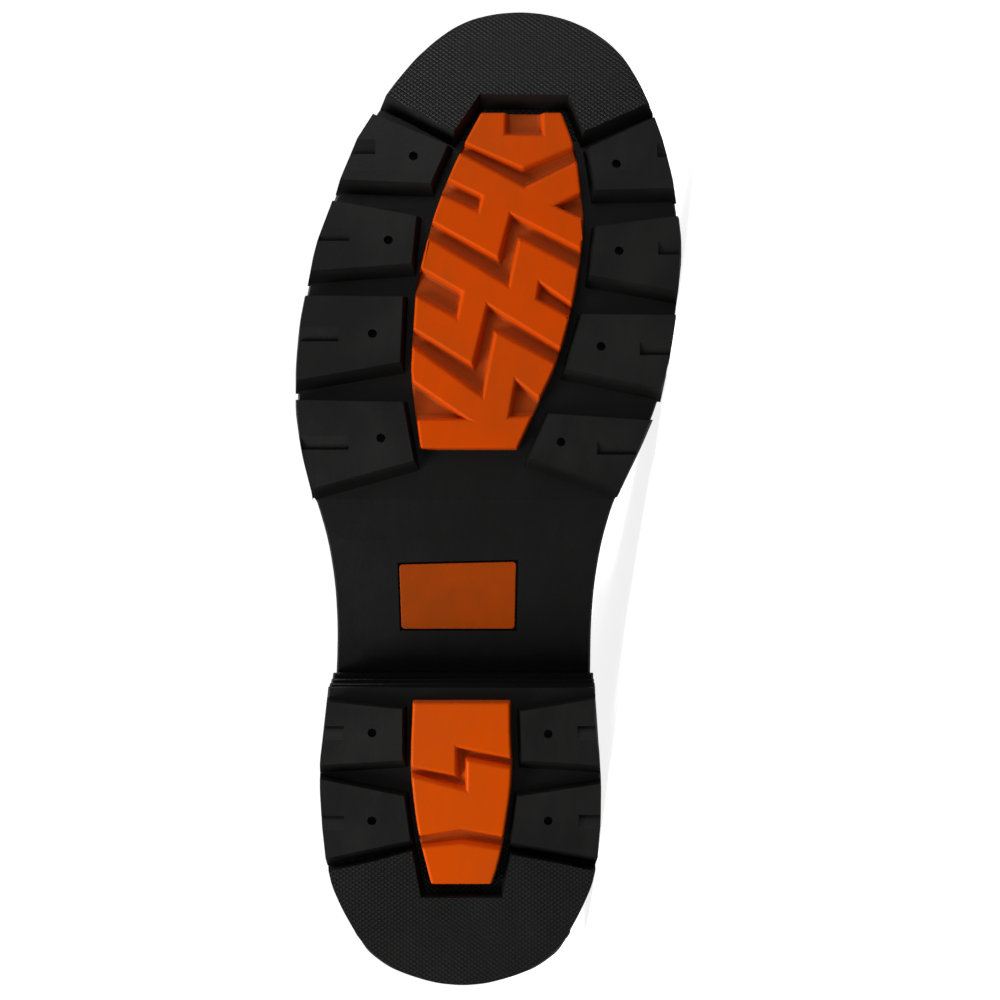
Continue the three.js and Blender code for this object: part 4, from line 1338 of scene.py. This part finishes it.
@dataclass
class Sewing:
    """Rows of stitches that dip into the leather between one stitch and the next."""

    pitch: float = 3.3
    length: float = 2.7
    radius: float = 0.34
    sides: int = 6
    shape: bmesh.types.BMesh = field(default_factory=bmesh.new)
    steps: tuple[tuple[float, float], ...] = (
        (-0.5, -0.5), (-0.34, 0.12), (0.0, 0.3), (0.34, 0.12), (0.5, -0.5),
    )

    def rows(self, runs: Iterable[Sequence[tuple[Vector, Vector]]], height: float) -> None:
        """Sews along every run.

        Args:
            runs: Runs of points with the surface's normals.
            height: How far the thread lies off the points.
        """
        for run in runs:
            travelled = 0.0
            due = self.pitch / 2
            for (start, first), (end, last) in zip(run, run[1:]):
                span = (end - start).length
                while span > 1e-6 and due <= travelled + span:
                    share = (due - travelled) / span
                    normal = first.lerp(last, share).normalized()
                    middle = start.lerp(end, share) + normal * height
                    self._stitch(middle, end - start, normal)
                    due += self.pitch
                travelled += span

    def _stitch(self, middle: Vector, run: Vector, normal: Vector) -> None:
        """Makes one stitch.

        Args:
            middle: Its middle.
            run: The direction of the row.
            normal: The surface's normal.
        """
        run = (run - normal * run.dot(normal)).normalized()
        across = normal.cross(run)
        turns = [2 * math.pi * k / self.sides for k in range(self.sides)]
        section = [(across * math.cos(turn) + normal * math.sin(turn)) * self.radius for turn in turns]
        rings = []
        for share, rise in self.steps:
            centre = middle + run * (share * self.length) + normal * (rise * self.radius * 2)
            rings.append([self.shape.verts.new(centre + spoke) for spoke in section])
        for low, high in zip(rings, rings[1:]):
            for k in range(self.sides):
                n = (k + 1) % self.sides
                self.shape.faces.new((low[k], low[n], high[n], high[k]))
        self.shape.faces.new(rings[0][::-1])
        self.shape.faces.new(rings[-1])

    def piece(self, name: str, material: bpy.types.Material, slot: str) -> None:
        """Makes all the stitches one piece."""
        bmesh.ops.recalc_face_normals(self.shape, faces=self.shape.faces)
        make_piece(self.shape, name, material)


VAMP = (
    (104.0, 15.0), (330.0, 15.0), (330.0, 140.0), (178.6, 129.4), (137.0, 122.0), (116.0, 84.0),
)


@dataclass(frozen=True)
class Overlay:
    """A flat piece of leather sewn on the upper, cut to a convex outline of the side view.

    outline gives places along and up in millimetres, against the clock. side is 1 for the inner side,
    -1 for the outer one and 0 for both. middle says that it is a strip over the back seam.
    """

    name: str
    node: str
    outline: tuple[tuple[float, float], ...]
    side: int = 0
    middle: bool = False
    half_strip: float = 7.0

    def planes(self) -> list[tuple[tuple, tuple]]:
        """Finds the planes that trim the piece.

        Returns:
            Each plane's point and the direction that goes.
        """
        planes = side_planes(self.outline)
        if self.side:
            planes.append(((0.0, 0.0, 0.0), (0.0, -self.side, 0.0)))
        if self.middle:
            for side in (1.0, -1.0):
                planes.append(((0.0, side * self.half_strip, 0.0), (0.0, side, 0.0)))
        return planes


OVERLAYS = (
    Overlay("heel_counter", "counter", (
        (-30.0, 22.4), (92.4, 22.4), (89.3, 56.0), (73.9, 68.6), (49.3, 79.8), (24.6, 87.4),
        (-30.0, 89.6),
    )),
    Overlay("back_strip", "backstay", (
        (-30.0, 126.0), (60.0, 126.0), (60.0, 254.8), (-30.0, 254.8),
    ), middle=True),
    Overlay("side_strip_in", "side_strip_inner", (
        (71.5, 137.2), (85.5, 137.2), (79.4, 254.8), (65.4, 254.8),
    ), 1),
    Overlay("side_strip_out", "side_strip_outer", (
        (71.5, 137.2), (85.5, 137.2), (79.4, 228.2), (65.4, 228.2),
    ), -1),
)


@dataclass
class Buckle:
    """A cast frame with a roller and a prong, built where the CAD buckle sits.

    corner is the radius of the frame's corners, squareness the power of its section and tip the share
    of its thickness at its two ends. play is the gap between moving parts.
    """

    belt: str
    length: float = 31.0
    width: float = 32.4
    bar: float = 3.4
    bar_height: float = 2.5
    corner: float = 3.2
    squareness: float = 3.2
    tip: float = 0.72
    roller: float = 2.5
    roller_edge: float = 0.35
    prong: float = 1.3
    prong_squareness: float = 2.4
    prong_turns: tuple[float, ...] = (200.0, 170.0, 140.0, 115.0, 90.0)
    prong_shares: tuple[float, ...] = (0.2, 0.45, 0.7, 0.88, 1.0)
    prong_bow: float = 0.7
    prong_overhang: float = 1.6
    play: float = 0.3

    def __post_init__(self) -> None:
        """Finds the buckle's place from its frame and roller."""
        points = self._points("frame")
        middle = sum(points, Vector()) / len(points)
        spread = Matrix(((0.0,) * 3,) * 3)
        for point in points:
            gap = point - middle
            for row in range(3):
                for column in range(3):
                    spread[row][column] += gap[row] * gap[column]
        normal = self._least(spread)
        roller = self._points("roller")
        along = sum(roller, Vector()) / len(roller) - middle
        along = (along - normal * along.dot(normal)).normalized()
        across = normal.cross(along)
        axes = (along, across, normal)
        centre = Vector()
        for axis in axes:
            reach = [point.dot(axis) for point in points]
            centre += axis * (min(reach) + max(reach)) / 2
        turned = Matrix(axes).transposed().to_4x4()
        self.place = Matrix.Translation(centre - normal * self.bar_height) @ turned

    def _points(self, part: str) -> list[Vector]:
        """The vertices of one CAD part in the boot's millimetres."""
        mesh = frame["nodes"][f"{self.belt}_buckle_{part}"].data
        return [PLACE.inverse @ vertex.co for vertex in mesh.vertices]

    @staticmethod
    def _least(spread: Matrix) -> Vector:
        """Finds the direction in which points spread least.

        Args:
            spread: The sum of the points' outer products about their middle.

        Returns:
            The direction, turned to the outer side.
        """
        flat = spread.inverted()
        way = Vector((0.1, -1.0, 0.1))
        for _ in range(60):
            way = (flat @ way).normalized()
        return way if way.y < 0 else -way

    def _corner_path(self, steps: int = 5) -> list[Vector]:
        """Draws the middle line of the frame, from the roller's one end round to its other.

        Args:
            steps: The steps of each corner.

        Returns:
            Its points.
        """
        half_l, half_w = (self.length - self.bar) / 2, (self.width - self.bar) / 2
        path = [Vector((half_l - 2.0, half_w, 0.0))]
        for side, first in ((1, 90), (-1, 180)):
            x, y = -half_l + self.corner, side * (half_w - self.corner)
            for step in range(steps + 1):
                turn = math.radians(first + 90 * step / steps)
                off_x, off_y = self.corner * math.cos(turn), self.corner * math.sin(turn)
                path.append(Vector((x + off_x, y + off_y, 0.0)))
        path.append(Vector((half_l - 2.0, -half_w, 0.0)))
        return path

    @staticmethod
    def sweep(
        shape: bmesh.types.BMesh, path: Sequence[Vector], sizes: Sequence[tuple[float, float]],
        power: float = 2.0, sides: int = 12,
    ) -> None:
        """Sweeps a rounded section along a path.

        Args:
            shape: The bmesh it is added to.
            path: Its points.
            sizes: The section's half-height and half-width at each point.
            power: 2 for an oval section, more for a squarer one.
            sides: The section's corners.
        """
        rings = []
        for i, point in enumerate(path):
            run = (path[min(i + 1, len(path) - 1)] - path[max(i - 1, 0)]).normalized()
            side = Vector((0.0, 0.0, 1.0)).cross(run)
            side = side.normalized() if side.length > 0.05 else Vector((0.0, 1.0, 0.0))
            rise = run.cross(side)
            high, wide = sizes[i]
            ring = []
            for k in range(sides):
                turn = 2 * math.pi * (k + 0.5) / sides
                c, s = math.cos(turn), math.sin(turn)
                x = wide * math.copysign(abs(c) ** (2 / power), c)
                z = high * math.copysign(abs(s) ** (2 / power), s)
                ring.append(shape.verts.new(point + side * x + rise * z))
            rings.append(ring)
        for low, high_ring in zip(rings, rings[1:]):
            for k in range(sides):
                n = (k + 1) % sides
                shape.faces.new((low[k], low[n], high_ring[n], high_ring[k]))
        shape.faces.new(rings[0][::-1])
        shape.faces.new(rings[-1])

    def _frame(self) -> bmesh.types.BMesh:
        """Makes the cast frame with the thin bar that carries the roller.

        Returns:
            The frame, flat in its own place.
        """
        shape = bmesh.new()
        half = self.bar / 2
        reach = (self.width - self.bar) / 2
        lift = Vector((0.0, 0.0, self.bar_height))
        first, last = [Vector((self.length / 2 - 0.6, side * reach, 0.0)) for side in (1, -1)]
        path = [first, *self._corner_path(), last]
        thin = (half * self.tip, half * self.tip)
        sizes = [thin, *[(half, half)] * (len(path) - 2), thin]
        self.sweep(shape, [point + lift for point in path], sizes, self.squareness)
        x = self.length / 2 - half
        pin = [Vector((x, y, self.bar_height)) for y in (-reach, 0.0, reach)]
        self.sweep(shape, pin, [(self.roller / 2, self.roller / 2)] * 3)
        return shape

    def _roller(self) -> bmesh.types.BMesh:
        """Makes the rolled sleeve on the bar.

        Returns:
            The sleeve, flat in the buckle's own place.
        """
        shape = bmesh.new()
        x = self.length / 2 - self.bar / 2
        reach = (self.width - 2 * self.bar - 2 * self.play) / 2
        full = reach - self.roller_edge
        rings = ((-reach, 0.86), (-full, 1.0), (0.0, 1.0), (full, 1.0), (reach, 0.86))
        path = [Vector((x, y, self.bar_height)) for y, _ in rings]
        sizes = [(self.roller * share, self.roller * share) for _, share in rings]
        self.sweep(shape, path, sizes, sides=32)
        return shape

    def _prong(self) -> bmesh.types.BMesh:
        """Makes the prong: an eye around the bar, then a long finger that rests on the roller.

        Returns:
            The prong, flat in the buckle's own place.
        """
        shape = bmesh.new()
        bar_x = -self.length / 2 + self.bar / 2
        end = self.length / 2 - self.bar / 2
        reach = self.bar / 2 + self.play + self.prong
        top = self.bar_height + self.bar / 2 + self.play + self.prong
        rest = self.bar_height + self.roller + 0.25 + self.prong * 0.7
        path = []
        for degrees in self.prong_turns:
            turn = math.radians(degrees)
            x, z = bar_x + reach * math.cos(turn), self.bar_height + reach * math.sin(turn)
            path.append(Vector((x, 0.0, z)))
        for share in self.prong_shares:
            lift = top + (rest - top) * share + self.prong_bow * math.sin(math.pi * share)
            path.append(Vector((bar_x + (end + self.prong_overhang - bar_x) * share, 0.0, lift)))
        sizes = [(self.prong, self.prong * 1.15)] * (len(path) - 3)
        sizes += [(self.prong * high, self.prong * wide) for high, wide in ((0.95, 1.0), (0.8, 0.9))]
        self.sweep(shape, path, [*sizes, (self.prong * 0.6, 0.8)], self.prong_squareness)
        return shape

    def build(self, finishes: Finishes) -> None:
        """Makes the three parts.

        Args:
            finishes: The boot's finishes.
        """
        parts = {"frame": self._frame(), "roller": self._roller(), "prong": self._prong()}
        for part, shape in parts.items():
            bmesh.ops.recalc_face_normals(shape, faces=shape.faces)
            bmesh.ops.transform(shape, matrix=self.place, verts=shape.verts)
            node = f"{self.belt}_buckle_{part}"
            piece = make_piece(shape, f"{self.belt}_{part}", finishes.steel, (node,))
            bevelled(piece, 0.3, 2, 40.0)


@dataclass(frozen=True)
class Belt:
    """A strap with its free end, keeper and buckle.

    start and end are two points of its middle line in the side view, buckle the buckle's place along
    the sole, and closed says whether the strap goes right round the boot. The band runs from behind to
    the toe, an open one only as far across as open_edge. The free end reaches some buckle lengths past
    the buckle, and is a little thinner. hole_reaches are the holes' places past the buckle.
    """

    name: str
    start: tuple[float, float]
    end: tuple[float, float]
    buckle: float
    closed: bool
    width: float = 25.0
    tail_width: float = 20.0
    buckle_length: float = 31.0
    behind: float = -60.0
    open_edge: float = -7.3
    free_reach: float = 1.25
    thinner: float = 0.1
    rounding: float = 0.6
    keeper_round: float = 0.8
    band_row: float = 2.6
    free_row: float = 2.2
    hole: float = 1.9
    hole_reaches: tuple[float, float] = (20.3, 38.5)

    def band(
        self, first: float, last: float, width: float, tip: float = 0.0,
    ) -> list[tuple[float, float]]:
        """A stretch of the strap in the side view.

        Args:
            first: Where it starts along the sole.
            last: Where it ends along the sole.
            width: Its width.
            tip: How far a pointed tip runs on past its end.

        Returns:
            Its outline, against the clock.
        """
        start = Vector(self.start)
        run = (Vector(self.end) - start).normalized()
        across = Vector((-run.y, run.x))

        def at(along: float, off: float) -> tuple[float, float]:
            """A place along the sole and off the middle line, as a point of the side view."""
            point = start + run * ((along - start.x) / run.x) + across * off
            return point.x, point.y

        half = width / 2
        outline = [at(first, -half), at(last, -half)]
        if tip:
            points = ((0.7, -0.55), (1.0, 0.0), (0.7, 0.55))
            outline += [at(last + tip * reach, half * off) for reach, off in points]
        return [*outline, at(last, half), at(first, half)]

    def free_end(self, first: float) -> list[tuple[float, float]]:
        """The free end's outline in the side view, from a place along the sole on."""
        last = self.buckle + self.free_reach * self.buckle_length
        return self.band(first, last, self.tail_width, self.tail_width / 2)

    def build(self, upper: Upper, finishes: Finishes) -> None:
        """Makes the strap's leather pieces and its buckle.

        Args:
            upper: The upper that it lies on.
            finishes: The boot's finishes.
        """
        planes = side_planes(self.band(self.behind, L, self.width))
        if not self.closed:
            planes.append(((0.0, self.open_edge, 0.0), (0.0, 1.0, 0.0)))
        low, top = upper.gap, upper.gap + upper.strap
        upper.cover(
            f"{self.name}_band", f"{self.name}_strap", planes, low, top, finishes.strap, self.rounding,
        )
        planes = side_planes(self.free_end(self.buckle - self.buckle_length / 2))
        planes.append(((0.0, 0.0, 0.0), (0.0, 1.0, 0.0)))
        low, top = top + upper.gap, top + upper.strap - self.thinner
        upper.cover(
            f"{self.name}_tail", f"{self.name}_strap_end", planes, low, top, finishes.strap,
            self.rounding,
        )
        keeper = make_piece(
            merged_copy(f"{self.name}_keeper"), f"{self.name}_loop", finishes.strap,
            (f"{self.name}_keeper",),
        )
        bevelled(keeper, self.keeper_round, 3)
        self._punch(upper, finishes, top)
        Buckle(self.name).build(finishes)

    def _punch(self, upper: Upper, finishes: Finishes, height: float) -> None:
        """Makes the punched holes of the free end, as dark plugs just proud of it: painted shade where
        each hole is.

        Args:
            upper: The upper that the strap lies on.
            finishes: The boot's finishes.
            height: How far the free end's face lies off the skin.
        """
        shape = bmesh.new()
        runs = upper.trace(*side_plane(self.start, self.end), lambda at: at.y < 0.0)
        points = [pair for run in runs for pair in run]
        for reach in self.hole_reaches:
            place, normal = min(points, key=lambda pair: abs(pair[0].x - self.buckle - reach))
            turned = normal.to_track_quat("Z", "Y").to_matrix().to_4x4()
            bmesh.ops.create_cone(
                shape, cap_ends=True, segments=20, radius1=self.hole, radius2=self.hole * 0.85,
                depth=0.3, matrix=Matrix.Translation(place + normal * height) @ turned,
            )
        make_piece(shape, f"{self.name}_holes", finishes.hole, smooth=False)

    def sew(self, upper: Upper, sewing: Sewing) -> None:
        """Sews the strap's two edges and its free end.

        Args:
            upper: The upper that it lies on.
            sewing: The stitches so far.
        """
        top = upper.gap + upper.strap
        band = inset_outline(self.band(self.behind, L, self.width), self.band_row)
        for start, end in (band[:2], band[2:]):
            runs = upper.trace(
                *side_plane(start, end), lambda at: self.closed or at.y < self.open_edge,
            )
            sewing.rows(runs, top)
        tail = self.free_end(self.buckle + self.buckle_length + 2.0)
        tail = inset_outline(tail, self.free_row)
        for start, end in zip(tail, tail[1:]):
            upper.sew_line(sewing, start, end, top + upper.strap - self.thinner, -1)


INSTEP_BELT = Belt("instep", (9.2, 107.8), (178.6, 129.4), 92.4, True)
TOP_BELT = Belt("top", (6.2, 242.2), (141.7, 246.4), 61.6, False)


@dataclass
class Studio:
    """Floor, lights and the camera that looks square at the sole.

    distance is the camera's in metres, and frame_mm what its picture spans at the sole. The floor is
    flat out to a radius, sweeps up with another and ends in a wall, all in metres.
    """

    distance: float = 0.5
    middle_along: float = 153.25
    middle_across: float = 11.7
    frame_mm: float = 315.4
    sensor: float = 36.0
    flat: float = 2.6
    sweep: float = 1.2
    sweep_steps: int = 12
    wall: float = 4.0
    floor_glow: float = 0.86
    daylight: float = 0.2
    lamps: tuple[tuple, ...] = (
        ("key", (-0.62, -0.62, 0.85), (0.0, -0.14, 0.06), 0.55, 13.0),
        ("fill", (0.75, -0.75, 0.5), (0.0, -0.14, 0.06), 0.7, 4.0),
        ("top", (0.15, 0.35, 1.3), (0.0, 0.0, 0.06), 0.8, 9.0),
    )

    def build(self) -> None:
        """Makes the stage."""
        self._camera()
        self._floor()
        self._lights()

    def _camera(self) -> None:
        """Sets the camera, which looks up the leg with the toe at the top of the picture."""
        target = PLACE.point(self.middle_along, self.middle_across, 0.0)
        where = target - PLACE.up * self.distance
        lens = bpy.data.cameras.new("camera")
        lens.sensor_width = self.sensor
        lens.lens = self.sensor * self.distance / (self.frame_mm * MM)
        lens.clip_start = 0.01
        camera = bpy.data.objects.new("camera", lens)
        turned = Matrix((PLACE.inner, PLACE.forward, -PLACE.up)).transposed().to_4x4()
        camera.matrix_world = Matrix.Translation(where) @ turned
        bpy.context.scene.collection.objects.link(camera)
        bpy.context.scene.camera = camera

    def _floor(self) -> None:
        """Makes a pale floor that sweeps up all round, far behind the boot."""
        shape = bmesh.new()
        edge = [shape.verts.new((0.0, 0.0, 0.0)), shape.verts.new((self.flat, 0.0, 0.0))]
        for step in range(1, self.sweep_steps + 1):
            turn = math.pi / 2 * step / self.sweep_steps
            out = self.flat + self.sweep * math.sin(turn)
            edge.append(shape.verts.new((out, 0.0, self.sweep * (1.0 - math.cos(turn)))))
        edge.append(shape.verts.new((self.flat + self.sweep, 0.0, self.sweep + self.wall)))
        edges = [shape.edges.new(pair) for pair in zip(edge, edge[1:])]
        bmesh.ops.spin(
            shape, geom=[*edge, *edges], cent=(0.0, 0.0, 0.0), axis=(0.0, 0.0, 1.0),
            angle=2 * math.pi, steps=64, use_merge=True,
        )
        bmesh.ops.remove_doubles(shape, verts=shape.verts, dist=0.0001)
        bmesh.ops.recalc_face_normals(shape, faces=shape.faces)
        bmesh.ops.reverse_faces(shape, faces=shape.faces)
        mesh = bpy.data.meshes.new("floor")
        for face in shape.faces:
            face.smooth = True
        shape.to_mesh(mesh)
        shape.free()
        floor = bpy.data.objects.new("floor", mesh)
        bpy.context.scene.collection.objects.link(floor)
        mesh.materials.append(Plain("pale_floor", (0.8, 0.8, 0.8), self.floor_glow).material())
        floor.visible_glossy = False
        floor.visible_diffuse = False
        floor.visible_shadow = False

    @staticmethod
    def _area(
        name: str, where: Sequence[float], aim: Sequence[float], size: float, power: float,
    ) -> None:
        """Hangs one soft square light.

        Args:
            name: Its name.
            where: Its place.
            aim: The point that it is aimed at.
            size: Its side.
            power: Its power in watts.
        """
        lamp = bpy.data.lights.new(name, "AREA")
        lamp.size = size
        lamp.energy = power
        light = bpy.data.objects.new(name, lamp)
        light.location = where
        light.rotation_euler = (Vector(aim) - Vector(where)).to_track_quat("-Z", "Y").to_euler()
        bpy.context.scene.collection.objects.link(light)

    def _lights(self) -> None:
        """Hangs a key at the outer side and the heel, a weaker fill, and a light behind the upper."""
        for lamp in self.lamps:
            self._area(*lamp)
        world = bpy.data.worlds.new("studio")
        bpy.context.scene.world = world
        world.use_nodes = True
        sky = world.node_tree.nodes["Background"]
        sky.inputs[0].default_value = (1.0, 1.0, 1.0, 1.0)
        sky.inputs[1].default_value = self.daylight
        bpy.context.scene.view_settings.view_transform = "Standard"


def main() -> None:
    """Builds the boot and its studio."""
    logging.basicConfig(level=logging.INFO)
    Studio().build()
    finishes = Finishes()
    SoleUnit().build(finishes)
    Upper().build(finishes)


if __name__ == "__main__":
    main()
